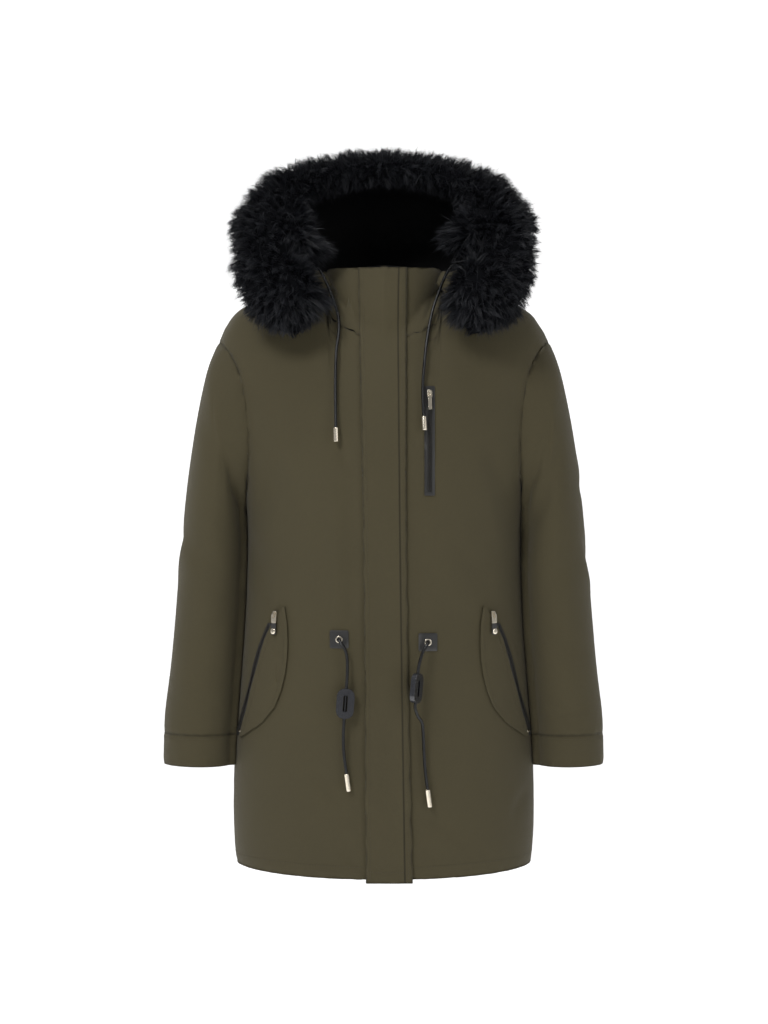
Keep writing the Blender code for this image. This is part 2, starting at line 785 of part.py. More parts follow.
def facing_out(mesh):
    """The mesh with its faces turned outwards and shaded smooth up to its sharp edges."""
    work = bmesh.new()
    work.from_mesh(mesh)
    bmesh.ops.recalc_face_normals(work, faces=work.faces)
    work.to_mesh(mesh)
    work.free()
    mesh.shade_smooth()
    mesh.set_sharp_from_angle(angle=math.radians(40))
    return mesh


def wall(name, points, normals, thickness, finish, lift=0.0, round_columns=False):
    """A named piece of cloth: its outer side is the grid moved out by lift, its inner side is below it."""
    outer = points + normals * lift
    inner = outer - normals * thickness
    return add_object(name, wall_mesh(name, outer, inner, round_columns), finish)


# --- Cutting pieces from a front's surface ---------------------------------------------------------------
def prism_mesh(name, outline, low, high):
    """An outline in x and z, drawn out along y."""
    work = bmesh.new()
    near = [work.verts.new((x, low, z)) for x, z in outline]
    far = [work.verts.new((x, high, z)) for x, z in outline]
    work.faces.new(near)
    work.faces.new(far)
    for i in range(len(outline)):
        j = (i + 1) % len(outline)
        work.faces.new((near[i], near[j], far[j], far[i]))
    mesh = bpy.data.meshes.new(name)
    bmesh.ops.recalc_face_normals(work, faces=work.faces)
    work.to_mesh(mesh)
    work.free()
    return mesh


def cut(target, cutter_mesh, operation, matrix=None):
    """Cuts or joins target with a mesh that isn't part of the coat."""
    cutter = add_object(f"cutter_{cutter_mesh.name}", cutter_mesh, None)
    if matrix:
        cutter.matrix_world = matrix
    cutter.hide_render = True
    cutter.display_type = "WIRE"
    step = target.modifiers.new(operation.lower(), "BOOLEAN")
    step.operation = operation
    step.object = cutter
    return cutter


def on_front(name, side, outline, lift, thickness, finish, hole=None):
    """A piece that lies on a front: the front's own surface, moved out and cut to an outline."""
    points = front_points(side)
    normals = body_normals(points)
    piece = wall(name, points, normals, thickness, finish, lift=lift + thickness)
    cut(piece, prism_mesh(f"{name}_outline", outline, -0.30, -0.005), "INTERSECT")
    if hole:
        cut(piece, prism_mesh(f"{name}_hole", hole, -0.30, -0.004), "DIFFERENCE")
    return piece


def rounded(width, height, radius, steps=3, centre=(0.0, 0.0)):
    """The outline of a rectangle with round corners, anticlockwise."""
    points = []
    for corner, (sx, sy) in enumerate(((1, 1), (-1, 1), (-1, -1), (1, -1))):
        for step in range(steps):
            angle = math.pi / 2 * (corner + step / (steps - 1))
            x = sx * (width / 2 - radius) + radius * math.cos(angle)
            y = sy * (height / 2 - radius) + radius * math.sin(angle)
            points.append((centre[0] + x, centre[1] + y))
    return points


def front_frame(side, x, z, lift):
    """A frame on a front at x and z: its x runs level along the cloth, its y up it, and its z out of it."""
    angle = angle_at_x(abs(x), z)
    point = body_point(angle, z)
    normal = body_normal(point)
    point[0] *= side
    normal[0] *= side
    across = unit(np.array([-normal[1], normal[0], 0.0]))
    up = np.cross(normal, across)
    frame = Matrix((across, up, normal)).transposed().to_4x4()
    frame.translation = Vector(point + normal * lift)
    return frame


# --- Small hard pieces -----------------------------------------------------------------------------------
def plate_mesh(name, outer, inner, low, high):
    """A flat plate in x and y with a window; both outlines have the same number of points."""
    work = bmesh.new()
    loops = []
    for outline, height in ((outer, low), (outer, high), (inner, high), (inner, low)):
        loops.append([work.verts.new((x, y, height)) for x, y in outline])
    for one, two in zip(loops, loops[1:] + loops[:1]):
        for i in range(len(one)):
            j = (i + 1) % len(one)
            work.faces.new((one[i], one[j], two[j], two[i]))
    mesh = bpy.data.meshes.new(name)
    work.to_mesh(mesh)
    work.free()
    return facing_out(mesh)


def slab_mesh(name, outline, low, high, bevel=0.0):
    """A flat plate in x and y with no window, its edges bevelled."""
    work = bmesh.new()
    bottom = [work.verts.new((x, y, low)) for x, y in outline]
    top = [work.verts.new((x, y, high)) for x, y in outline]
    work.faces.new(bottom[::-1])
    lid = work.faces.new(top)
    for i in range(len(outline)):
        j = (i + 1) % len(outline)
        work.faces.new((bottom[i], bottom[j], top[j], top[i]))
    if bevel:
        bmesh.ops.bevel(work, geom=list(lid.edges), offset=bevel, segments=1, affect="EDGES")
    mesh = bpy.data.meshes.new(name)
    work.to_mesh(mesh)
    work.free()
    return facing_out(mesh)


def turned_mesh(name, profile, sides, closed_profile=False):
    """A profile of (radius, height) points turned about z. One that isn't closed starts and ends on z."""
    work = bmesh.new()
    rings = []
    for radius, height in profile:
        if radius == 0:
            rings.append([work.verts.new((0, 0, height))])
            continue
        turns = [2 * math.pi * k / sides for k in range(sides)]
        rings.append([work.verts.new((radius * math.cos(t), radius * math.sin(t), height)) for t in turns])
    pairs = list(zip(rings, rings[1:]))
    if closed_profile:
        pairs.append((rings[-1], rings[0]))
    for one, two in pairs:
        for i in range(sides):
            j = (i + 1) % sides
            corners = [one[i % len(one)], one[j % len(one)], two[j % len(two)], two[i % len(two)]]
            work.faces.new(list(dict.fromkeys(corners)))
    mesh = bpy.data.meshes.new(name)
    work.to_mesh(mesh)
    work.free()
    return facing_out(mesh)


def along_matrix(start, direction):
    """A frame at start whose z runs along direction."""
    turn = Vector(direction).to_track_quat("Z", "Y")
    return Matrix.Translation(Vector(start)) @ turn.to_matrix().to_4x4()


# --- The shell -------------------------------------------------------------------------------------------
def build_fronts():
    """The two fronts, from the zip's slot to the side seam, armhole and shoulder seam."""
    for name, side in SIDES.items():
        points = front_points(side)
        normals = body_normals(points)
        points = draw_in(points, last_row=True, last_column=True)
        wall(f"front_{name}", points, normals, SHELL_CLOTH, "olive_cloth")


def build_back():
    """The back, in one piece."""
    points = back_points()
    normals = body_normals(points)
    points = draw_in(points, last_row=True, first_column=True, last_column=True)
    wall("back", points, normals, SHELL_CLOTH, "olive_cloth")


def sleeve_section(ring, squareness=1.0):
    """Points round the left sleeve at one ring, from its outer edge down the front and up the back."""
    outer = np.array([SLEEVE_OUTER_X(ring.outer_height), 0.0, ring.outer_height])
    inner = np.array([HALF_WIDTH(ring.inner_height) + SLEEVE_CLEAR, 0.0, ring.inner_height])
    middle = (outer + inner) / 2 + np.array([0.0, -ring.forward, 0.0])
    half = (outer - inner) / 2
    points = []
    for step in range(2 * ARM_STEPS):
        turn = math.pi * step / ARM_STEPS
        reach = ring.front if turn < math.pi else ring.back
        sine = math.copysign(abs(math.sin(turn)) ** squareness, math.sin(turn))
        points.append(middle + half * math.cos(turn) + np.array([0.0, -reach * sine, 0.0]))
    return np.array(points)


def sleeve_start():
    """The armhole as the sleeve's first ring, eased off the body at the underarm."""
    points = []
    for step in range(2 * ARM_STEPS):
        turn = math.pi * step / ARM_STEPS
        point = armhole_point(turn)
        ease = 2 * GAP * (1 - math.cos(turn)) / 2
        points.append(point + body_normal(point) * ease)
    return np.array(points)


def build_sleeves():
    """Sleeves and cuffs: rings from the armhole to the cuff seam, then down to the cuff's edge."""
    squareness = np.interp(range(len(SLEEVE)), (-1, 3), (ARM_SQUARENESS, 1.0))
    rings = np.array([sleeve_start(), *map(sleeve_section, SLEEVE, squareness)])
    end = sleeve_section(CUFF_END)
    cuff = np.array([rings[-1] + (end - rings[-1]) * t for t in np.linspace(0, 1, CUFF_ROWS + 1)])
    sleeve_normals = grid_normals(rings, round_columns=True)
    sleeve_normals[0] = body_normals(rings[:1])[0]
    cuff_normals = grid_normals(cuff, round_columns=True)
    cuff_normals[0] = sleeve_normals[-1]
    rings = draw_in(rings, first_row=True, last_row=True)
    cuff = draw_in(cuff, first_row=True)
    for name, side in SIDES.items():
        for piece, points, normals in (("sleeve", rings, sleeve_normals), ("cuff", cuff, cuff_normals)):
            if side < 0:
                points, normals = mirrored(points), mirrored(normals)
            node = f"{piece}_{name}"
            points = folded(node, points, round_columns=True)
            wall(node, points, normals, SHELL_CLOTH, "olive_cloth", round_columns=True)


# --- Collar, placket and closing -------------------------------------------------------------------------
def collar_top(turn):
    """A point of the collar's top edge on the left half."""
    reach = COLLAR_TOP_FRONT if turn < math.pi / 2 else COLLAR_TOP_BACK
    centre_height = COLLAR_FRONT_HEIGHT if turn < math.pi / 2 else COLLAR_BACK_HEIGHT
    height = COLLAR_SIDE_HEIGHT + (centre_height - COLLAR_SIDE_HEIGHT) * math.cos(turn) ** 2
    return np.array([COLLAR_TOP_HALF * math.sin(turn), -reach * math.cos(turn), height])


def bowed_out(low, high, share, out):
    """A point of the collar's outer side, a share of the way up from the neck seam."""
    return low + (high - low) * share + out * COLLAR_EASE * math.sin(math.pi * share)


def collar_side(turn, share):
    """A point of the collar's outer side on the left half, and the level direction out of it."""
    out = unit(np.array([math.sin(turn), -math.cos(turn), 0.0]))
    return bowed_out(neck_point(turn), collar_top(turn), share, out), out


def collar_points(front, side):
    """The collar's outer side on the left half, as rows from the neck seam up."""
    turns = neck_turns(front, side)
    bottom = np.array([neck_point(turn) for turn in turns])
    top_turns = turns.copy()
    if front:
        top_turns[0] = math.asin(ZIP_HALF / COLLAR_TOP_HALF)
        top_turns[1] = math.asin(placket_reach(side, COLLAR_FRONT_HEIGHT) / COLLAR_TOP_HALF)
    top = np.array([collar_top(turn) for turn in top_turns])
    rows = []
    for share in np.linspace(0, 1, COLLAR_ROWS + 1):
        outs = [np.array([math.sin(turn), -math.cos(turn), 0.0]) for turn in turns]
        if front:
            outs[:2] = [np.array([0.0, -1.0, 0.0])] * 2
        rows.append([bowed_out(*place, share, out) for *place, out in zip(bottom, top, outs)])
    return np.array(rows)


def collar_normals(points):
    """Outward normals of a collar piece."""
    normals = grid_normals(points, round_columns=False)
    out = points * np.array([1.0, 1.0, 0.0])
    turned = np.sum(normals * out, axis=2) < 0
    normals[turned] *= -1
    at_side = np.abs(points[:, :, 1]) < 1e-6
    normals[at_side, 1] = 0.0
    return normals / np.linalg.norm(normals, axis=2)[:, :, None]


def build_collar():
    """The stand collar: a piece on each front and one round the back."""
    for name, side in SIDES.items():
        points = collar_points(True, side)
        points = points if side > 0 else mirrored(points)
        normals = collar_normals(points)
        points = draw_in(points, first_row=True, last_column=True)
        wall(f"collar_{name}", points, normals, SHELL_CLOTH, "olive_cloth")
    left = collar_points(False, 1)
    points = np.concatenate([mirrored(left)[:, :0:-1], left], axis=1)
    normals = collar_normals(points)
    points = draw_in(points, first_row=True, first_column=True, last_column=True)
    wall("collar_back", points, normals, SHELL_CLOTH, "olive_cloth")


def closing_columns(side):
    """The zip's edge and the placket's edge on one side, from the hem to the collar's top, and normals."""
    body = front_points(side)[:, :2]
    collar = collar_points(True, side)
    collar = (collar if side > 0 else mirrored(collar))[:, :2]
    points = np.concatenate([body, collar[1:]])
    body_part = body_normals(body)
    collar_part = np.array([unit(p * np.array([0.2, 1.0, 0.0])) for p in collar[1:].reshape(-1, 3)])
    normals = np.concatenate([body_part, collar_part.reshape(-1, 2, 3)])
    return points, normals


def build_placket():
    """The storm flap, from below the hem to the collar's top."""
    right, right_normals = closing_columns(-1)
    left, left_normals = closing_columns(1)
    points = np.concatenate([right[:, ::-1], left], axis=1)
    normals = np.concatenate([right_normals[:, ::-1], left_normals], axis=1)
    points[0, :, 2] -= PLACKET_DROP
    wall("placket", points, normals, PLACKET_CLOTH, "olive_cloth", lift=PLACKET_CLOTH + 1.5 * GAP)


def build_front_zip():
    """The closed zip between the fronts, which the placket hides."""
    right, right_normals = closing_columns(-1)
    left, left_normals = closing_columns(1)
    points = np.stack([right[:, 0], left[:, 0]], axis=1)
    normals = np.stack([right_normals[:, 0], left_normals[:, 0]], axis=1)
    points[:, 0, 0] += 4 * GAP
    points[:, 1, 0] -= 4 * GAP
    wall("front_zip", points, normals, TAPE_CLOTH, "zip_tape", lift=-3 * GAP)


# --- Hood and fur ----------------------------------------------------------------------------------------
HOOD_X = column(HOOD, "share", "x")
HOOD_Y = column(HOOD, "share", "y")
HOOD_Z = column(HOOD, "share", "z")
HOOD_BACK = column(HOOD, "share", "back")
HOOD_DROP = column(HOOD, "share", "drop")


def hood_curve(share, shares=np.linspace(0, 1, HOOD_ROWS + 1)):
    """One column of the hood on the left half, from the face edge back and down to its seam on the collar."""
    edge = np.array([HOOD_X(share), HOOD_Y(share), HOOD_Z(share)])
    turn = HOOD_START_TURN + (math.pi - HOOD_START_TURN) * share
    rise = HOOD_START_SHARE + (HOOD_SEAM_SHARE - HOOD_START_SHARE) * smoothstep(share / 0.15)
    seam, out = collar_side(turn, rise)
    seat = seam + out * HOOD_SEAT
    back = HOOD_BACK(share)
    first = edge + back * unit(np.array([0.15 * math.cos(share * math.pi / 2), 1.0, 0.15]))
    second = seat + back * 0.65 * out - np.array([0.0, 0.0, HOOD_DROP(share)])
    rows = []
    for t in shares:
        near = (1 - t) ** 3 * edge + 3 * t * (1 - t) ** 2 * first
        rows.append(near + 3 * t * t * (1 - t) * second + t**3 * seat)
    return np.array(rows)


def hood_grid():
    """The whole hood's outer surface, with its columns from the wearer's right to the left."""
    half = HOOD_COLUMNS // 2
    left = np.stack([hood_curve(number / half) for number in range(half + 1)], axis=1)
    left = left[:, ::-1]
    return np.concatenate([mirrored(left)[:, :0:-1], left], axis=1)


def build_hood():
    """Two side panels, the centre strip and the black lining just inside them."""
    grid = hood_grid()
    normals = grid_normals(grid, round_columns=False)
    middle = np.array([0.0, 0.06, 0.15])
    if np.sum(normals * (grid - middle)) < 0:
        normals = -normals
    first = (HOOD_COLUMNS - HOOD_CENTRE_COLUMNS) // 2
    last = first + HOOD_CENTRE_COLUMNS
    spans = {
        "hood_side_right": (0, first, False, True),
        "hood_centre": (first, last, True, True),
        "hood_side_left": (last, HOOD_COLUMNS, True, False),
    }
    for name, (start, end, sewn_first, sewn_last) in spans.items():
        points = draw_in(grid[:, start : end + 1], first_column=sewn_first, last_column=sewn_last)
        wall(name, points, normals[:, start : end + 1], HOOD_CLOTH, "olive_cloth")
    lined = slice(HOOD_FACING_COLUMNS, -HOOD_FACING_COLUMNS)
    inside = -HOOD_CLOTH - 1.5 * GAP
    wall("hood_lining", grid[:, lined], normals[:, lined], LINING_CLOTH, "black_lining", lift=inside)


def ruff_rings():
    """Rings of the fur's reach, from the right lobe over the arch to the left one."""
    rows = np.array([tuple(ring) for ring in RUFF])
    other = rows * np.array([-1.0, 1.0, 1.0, 1.0, 1.0])
    rows = np.concatenate([other, rows[-2::-1]])
    middles = rows[:, :3]
    ways = np.gradient(middles, axis=0)
    rings = []
    for (x, y, z, across, deep), way in zip(rows, ways):
        way = unit(way)
        side = unit(np.cross(way, np.array([0.0, 1.0, 0.0])))
        back = np.cross(side, way)
        turns = [2 * math.pi * k / RUFF_SIDES for k in range(RUFF_SIDES)]
        middle = np.array([x, y, z])
        rings.append([middle + side * across * math.cos(t) + back * deep * math.sin(t) for t in turns])
    return np.array(rings)


def build_ruff():
    """The fur as one plain closed solid of its reach."""
    rings = ruff_rings()
    work = bmesh.new()
    loops = [[work.verts.new(p) for p in ring] for ring in rings]
    for one, two in zip(loops, loops[1:]):
        for i in range(RUFF_SIDES):
            j = (i + 1) % RUFF_SIDES
            work.faces.new((one[i], one[j], two[j], two[i]))
    for loop, side in ((loops[0], -1), (loops[-1], 1)):
        end = work.verts.new((side * RUFF_END[0], RUFF_END[1], RUFF_END[2]))
        for i in range(RUFF_SIDES):
            work.faces.new((loop[i], loop[(i + 1) % RUFF_SIDES], end))
    mesh = bpy.data.meshes.new("fur_ruff")
    work.to_mesh(mesh)
    work.free()
    add_object("fur_ruff", facing_out(mesh), "black_fur")


# --- Cords -----------------------------------------------------------------------------------------------
def build_cord(name, route):
    """A cord's solid along its route. Returns its end and the direction in which it ends."""
    length = float(np.sum(np.linalg.norm(np.diff(np.array(route), axis=0), axis=1)))
    points = through(route, max(int(length / (CORD_DIAMETER * CORD_STEP)), 8))
    data = bpy.data.curves.new(name, "CURVE")
    data.dimensions = "3D"
    data.bevel_depth = CORD_DIAMETER / 2
    data.bevel_resolution = 2
    data.use_fill_caps = True
    spline = data.splines.new("POLY")
    spline.points.add(len(points) - 1)
    for place, point in zip(spline.points, points):
        place.co = (*point, 1.0)
    add_object(name, data, "black_cord")
    return points[-1], unit(points[-1] - points[-2])


def build_tip(name, end, way, length):
    """A metal end, beginning just past the cord's."""
    edge = 0.0007
    profile = [
        (0, 0),
        (TIP_RADIUS - edge, 0),
        (TIP_RADIUS, edge),
        (TIP_RADIUS, length - edge),
        (TIP_RADIUS - edge, length),
        (0, length),
    ]
    tip = add_object(name, turned_mesh(name, profile, 12), "pale_gold")
    tip.matrix_world = along_matrix(end + way * GAP, way)


def build_eyelet(name, frame):
    """A metal ring lying on what its cord comes out of."""
    edge = 0.0004
    profile = [
        (EYELET_INNER, 0),
        (EYELET_OUTER, 0),
        (EYELET_OUTER, EYELET_RISE - edge),
        (EYELET_OUTER - edge, EYELET_RISE),
        (EYELET_INNER, EYELET_RISE),
    ]
    ring = add_object(name, turned_mesh(name, profile, 14, closed_profile=True), "pale_gold")
    ring.matrix_world = frame


def build_toggle(name, start, end, turn):
    """A flat cord toggle with a slot and a channel for its cord, turned about the cord by an angle."""
    outer = rounded(TOGGLE_WIDTH, TOGGLE_LENGTH, TOGGLE_WIDTH * 0.42, steps=4)
    inner = rounded(TOGGLE_SLOT_WIDTH, TOGGLE_SLOT_LENGTH, TOGGLE_SLOT_WIDTH * 0.45, steps=4)
    half = TOGGLE_THICKNESS / 2
    toggle = add_object(name, plate_mesh(name, outer, inner, -half, half), "grey_leather")
    up = unit(np.array(start) - np.array(end))
    out = unit(np.array([math.sin(turn), -math.cos(turn), 0.0]))
    across = unit(np.cross(up, out))
    out = np.cross(across, up)
    frame = Matrix((across, up, out)).transposed().to_4x4()
    frame.translation = Vector((np.array(start) + np.array(end)) / 2)
    toggle.matrix_world = frame
    reach = TOGGLE_LENGTH
    profile = [(0, -reach), (CORD_CHANNEL / 2, -reach), (CORD_CHANNEL / 2, reach), (0, reach)]
    cut(toggle, turned_mesh(f"{name}_channel", profile, 8), "DIFFERENCE", along_matrix(frame.translation, up))


class WaistCord(NamedTuple):
    """What hangs from one waist patch."""

    route: tuple
    toggle_top: tuple
    toggle_bottom: tuple
    toggle_turn: float


WAIST_CORDS = {
    "right": WaistCord(WAIST_CORD_RIGHT, WAIST_CORD_RIGHT[6], WAIST_CORD_RIGHT[9], 0.0),
    "left": WaistCord(WAIST_CORD_LEFT, WAIST_CORD_LEFT[5], WAIST_CORD_LEFT[8], math.radians(62)),
}
HOOD_CORDS = {"right": HOOD_CORD_RIGHT, "left": HOOD_CORD_LEFT}


def build_hood_cords():
    """The hood's two draw cords and their metal tips."""
    for name, route in HOOD_CORDS.items():
        end, way = build_cord(f"hood_cord_{name}", route)
        build_tip(f"hood_tip_{name}", end, way, HOOD_TIP_LENGTH)


def build_waist_cords():
    """The waist's draw cords with their leather patches, eyelets, toggles and metal tips."""
    for name, side in SIDES.items():
        hang = WAIST_CORDS[name]
        x, _, z = hang.route[0]
        outline = rounded(PATCH_WIDTH, PATCH_HEIGHT, 0.002, centre=(x, z))
        on_front(f"waist_patch_{name}", side, outline, GAP, LEATHER, "grey_leather")
        build_eyelet(f"waist_eyelet_{name}", front_frame(side, x, z, LEATHER + 2 * GAP))
        end, way = build_cord(f"waist_cord_{name}", hang.route)
        build_tip(f"waist_tip_{name}", end, way, WAIST_TIP_LENGTH)
        build_toggle(f"waist_toggle_{name}", hang.toggle_top, hang.toggle_bottom, hang.toggle_turn)


def build_snaps():
    """The press studs that hold the hood's front corners."""
    rise = 0.0022
    profile = [(0, 0), (SNAP_RADIUS, 0), (SNAP_RADIUS, rise * 0.4), (SNAP_RADIUS * 0.6, rise), (0, rise)]
    step = 0.02
    for name, side in SIDES.items():
        here, further = hood_curve(SNAP_SHARE, (SNAP_BACK, SNAP_BACK + step))
        beside = hood_curve(SNAP_SHARE + step, (SNAP_BACK,))[0]
        out = unit(np.cross(further - here, beside - here))
        out = out if out[1] < 0 else -out
        point = here + out * (HOOD_CLOTH + 2 * GAP)
        if side < 0:
            point, out = mirrored(point), mirrored(out)
        snap = add_object(f"ruff_snap_{name}", turned_mesh(f"ruff_snap_{name}", profile, 12), "pale_gold")
        snap.matrix_world = along_matrix(point, out)


# --- Zips ------------------------------------------------------------------------------------------------
def build_slider(name, frame):
    """A zip slider: a base with an arch over it that the pull hangs under."""
    base = rounded(SLIDER_WIDTH, SLIDER_LENGTH, 0.0018)
    slider = add_object(name, slab_mesh(name, base, 0.0, SLIDER_BASE, bevel=0.0004), "pale_gold")
    slider.matrix_world = frame
    top = SLIDER_BASE + ARCH_RISE
    foot = SLIDER_BASE - 0.001
    inside = ARCH_HALF - ARCH_BAR
    side_view = [
        (-ARCH_HALF, foot),
        (-inside, foot),
        (-inside, top - ARCH_BAR),
        (inside, top - ARCH_BAR),
        (inside, foot),
        (ARCH_HALF, foot),
        (ARCH_HALF, top - 0.0008),
        (ARCH_HALF - 0.0008, top),
        (0.0008 - ARCH_HALF, top),
        (-ARCH_HALF, top - 0.0008),
    ]
    arch = slab_mesh(f"{name}_arch", side_view, -ARCH_WIDTH / 2, ARCH_WIDTH / 2)
    upright = Matrix(((0, 0, 1, 0), (1, 0, 0, 0), (0, 1, 0, 0), (0, 0, 0, 1)))
    cut(slider, arch, "UNION", frame @ upright)


def resting_matrix(frame):
    """A frame at a slider's pivot: its y runs up the cloth, so that a pull in it rests along the cloth."""
    return frame @ Matrix.Translation((0.0, 0.0, SLIDER_BASE + PIVOT_RISE))


def pull_mesh(name, length, width):
    """A pull's plate from just over its axis down, with a window for the slider's arch."""
    half = PULL_PLATE / 2
    outer = rounded(width, length, 0.0012, centre=(0.0, half - length / 2))
    inner = rounded(0.0032, PULL_WINDOW - half, 0.0006, centre=(0.0, -(PULL_WINDOW + half) / 2))
    return plate_mesh(name, outer, inner, -half, half)


def build_chest_zip():
    """The chest pocket's welt, its tape, slider and pull."""
    width, height = CHEST_WIDTH, CHEST_TOP - CHEST_BOTTOM
    centre = (CHEST_X, (CHEST_TOP + CHEST_BOTTOM) / 2)
    slot_height = height - 2 * CHEST_SLOT_INSET
    slot = rounded(CHEST_SLOT_WIDTH, slot_height, 0.001, centre=centre)
    tape = rounded(CHEST_SLOT_WIDTH - 2 * GAP, slot_height - 2 * GAP, 0.0008, centre=centre)
    welt = rounded(width, height, 0.0015, centre=centre)
    on_front("chest_welt", 1, welt, GAP, LEATHER, "grey_leather", hole=slot)
    on_front("chest_tape", 1, tape, GAP, TAPE_CLOTH / 2, "zip_tape")
    frame = front_frame(1, CHEST_X, CHEST_TOP - CHEST_SLOT_INSET - 0.0065, LEATHER + 2 * GAP)
    build_slider("chest_slider", frame)
    pull = add_object("chest_pull", pull_mesh("chest_pull", CHEST_PULL_LENGTH, CHEST_PULL_WIDTH), "pale_gold")
    pull.matrix_world = resting_matrix(frame)


def build_pockets():
    """Each hip pocket's leaf-shaped flap, the zip along its outer edge, and the zip's hardware."""
    front_edge = column(POCKET[::-1], "height", "front")
    zip_edge = column(POCKET[::-1], "height", "zip")
    heights = np.linspace(POCKET[0].height, POCKET[-1].height, POCKET_STEPS)
    for name, side in SIDES.items():
        leaf = [(side * zip_edge(z), z) for z in heights] + [(side * front_edge(z), z) for z in heights[::-1]]
        on_front(f"pocket_flap_{name}", side, leaf, GAP, FLAP_CLOTH, "olive_cloth")
        near = [(side * (zip_edge(z) + GAP), z) for z in heights[1:]]
        far = [(side * (zip_edge(z) + POCKET_ZIP_WIDTH), z) for z in heights[:0:-1]]
        on_front(f"pocket_zip_{name}", side, near + far, GAP, TAPE_CLOTH, "zip_tape")
        build_pocket_pull(name, side)


def build_pocket_pull(name, side):
    """The slider at the zip's top, the stop at its foot and the pull: a ring, a leather tab and a stud."""
    top = POCKET[0]
    frame = front_frame(side, top.zip + 0.0090, top.height - 0.0110, FLAP_CLOTH + 2 * GAP)
    build_slider(f"pocket_slider_{name}", frame)
    resting = resting_matrix(frame)
    ring_mesh = pull_mesh(f"pocket_ring_{name}", RING_LENGTH, RING_WIDTH)
    ring = add_object(f"pocket_ring_{name}", ring_mesh, "pale_gold")
    ring.matrix_world = resting
    tab_top = PULL_PLATE / 2 - RING_LENGTH - GAP
    half = TAB_THICKNESS / 2
    tab_outline = rounded(TAB_WIDTH, TAB_LENGTH, 0.002, centre=(0.0, tab_top - TAB_LENGTH / 2))
    tab_mesh = slab_mesh(f"pocket_tab_{name}", tab_outline, -half, half)
    tab = add_object(f"pocket_tab_{name}", tab_mesh, "grey_leather")
    tab.matrix_world = resting
    rise = 0.0016
    profile = [(0, 0), (STUD_RADIUS, 0), (STUD_RADIUS, rise * 0.6), (STUD_RADIUS * 0.6, rise), (0, rise)]
    stud = add_object(f"pocket_stud_{name}", turned_mesh(f"pocket_stud_{name}", profile, 12), "pale_gold")
    stud_place = Vector((0.0, tab_top - TAB_LENGTH + STUD_RADIUS + 0.0008, half + GAP))
    stud.matrix_world = resting @ Matrix.Translation(stud_place)
    foot = POCKET[-1]
    stop_mesh = slab_mesh(f"pocket_stop_{name}", rounded(0.006, 0.0035, 0.0008), 0.0, 0.0012)
    stop = add_object(f"pocket_stop_{name}", stop_mesh, "pale_gold")
    stop.matrix_world = front_frame(side, foot.zip - 0.004, foot.height + 0.007, FLAP_CLOTH + 2 * GAP)


def build_parka():
    """Every piece of the coat."""
    clear_scene()
    build_fronts()
    build_back()
    build_sleeves()
    build_collar()
    build_placket()
    build_front_zip()
    build_hood()
    build_ruff()
    build_hood_cords()
    build_waist_cords()
    build_snaps()
    build_chest_zip()
    build_pockets()


build_parka()
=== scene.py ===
"""The looks of a hooded winter parka with a long pile fur ruff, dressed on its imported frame."""

import logging
import math
from collections.abc import Callable
from dataclasses import dataclass, field
from enum import Enum

import bmesh
import bpy
import numpy as np
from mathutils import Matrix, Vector
from mathutils.bvhtree import BVHTree
from mathutils.kdtree import KDTree


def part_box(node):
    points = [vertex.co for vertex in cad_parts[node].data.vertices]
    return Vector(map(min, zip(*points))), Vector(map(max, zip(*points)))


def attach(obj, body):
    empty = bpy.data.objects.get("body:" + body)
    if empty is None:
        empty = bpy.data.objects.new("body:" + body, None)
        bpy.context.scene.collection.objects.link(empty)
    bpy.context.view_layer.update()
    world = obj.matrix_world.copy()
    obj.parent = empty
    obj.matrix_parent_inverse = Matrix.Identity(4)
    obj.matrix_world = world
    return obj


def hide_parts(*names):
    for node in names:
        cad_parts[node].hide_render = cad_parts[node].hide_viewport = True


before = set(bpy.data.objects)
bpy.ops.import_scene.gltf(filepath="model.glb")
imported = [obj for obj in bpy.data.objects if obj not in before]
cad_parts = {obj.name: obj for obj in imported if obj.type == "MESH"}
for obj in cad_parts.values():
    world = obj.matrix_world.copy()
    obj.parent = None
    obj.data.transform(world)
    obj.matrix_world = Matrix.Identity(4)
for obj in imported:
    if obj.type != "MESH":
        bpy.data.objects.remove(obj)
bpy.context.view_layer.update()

COAT = "coat"
SIDES = {"right": -1, "left": 1}
LOG = logging.getLogger("parka")
norm = np.linalg.norm
Array = np.ndarray
Socket = bpy.types.NodeSocket
Piece = bpy.types.Object
Draw = np.random.Generator


# --- Handling meshes ---
def select_only(piece: Piece | None) -> None:
    """Select one object and make it active, or deselect everything.

    Args:
        piece: the object, or None to leave nothing selected.
    """
    for other in bpy.context.selected_objects:
        other.select_set(False)
    if piece:
        piece.select_set(True)
        bpy.context.view_layer.objects.active = piece


def rows_of(layer: bpy.types.bpy_prop_collection, name: str) -> Array:
    """One vector property of a mesh's collection, as rows."""
    flat = np.empty(len(layer) * 3)
    layer.foreach_get(name, flat)
    return flat.reshape(-1, 3)


def points_of(piece: Piece) -> Array:
    """The piece's vertices as rows."""
    return rows_of(piece.data.vertices, "co")


def move_points(piece: Piece, points: Array) -> None:
    """Put the piece's vertices at new places."""
    piece.data.vertices.foreach_set("co", points.astype(np.float32).ravel())
    piece.data.update()


def normals_of(piece: Piece) -> Array:
    """The piece's vertex normals as rows."""
    return rows_of(piece.data.vertex_normals, "vector")


def corners_of(piece: Piece) -> Array:
    """The vertex number at each corner of each face."""
    numbers = np.empty(len(piece.data.loops), np.int32)
    piece.data.loops.foreach_get("vertex_index", numbers)
    return numbers


def unit(rows: Array) -> Array:
    """The rows at length 1."""
    return rows / np.maximum(norm(rows, axis=-1, keepdims=True), 1e-12)


def smoothstep(low: float, high: float, values: Array) -> Array:
    """0 below low, 1 above high, and a smooth rise between."""
    share = np.clip((values - low) / (high - low), 0, 1)
    return share * share * (3 - 2 * share)


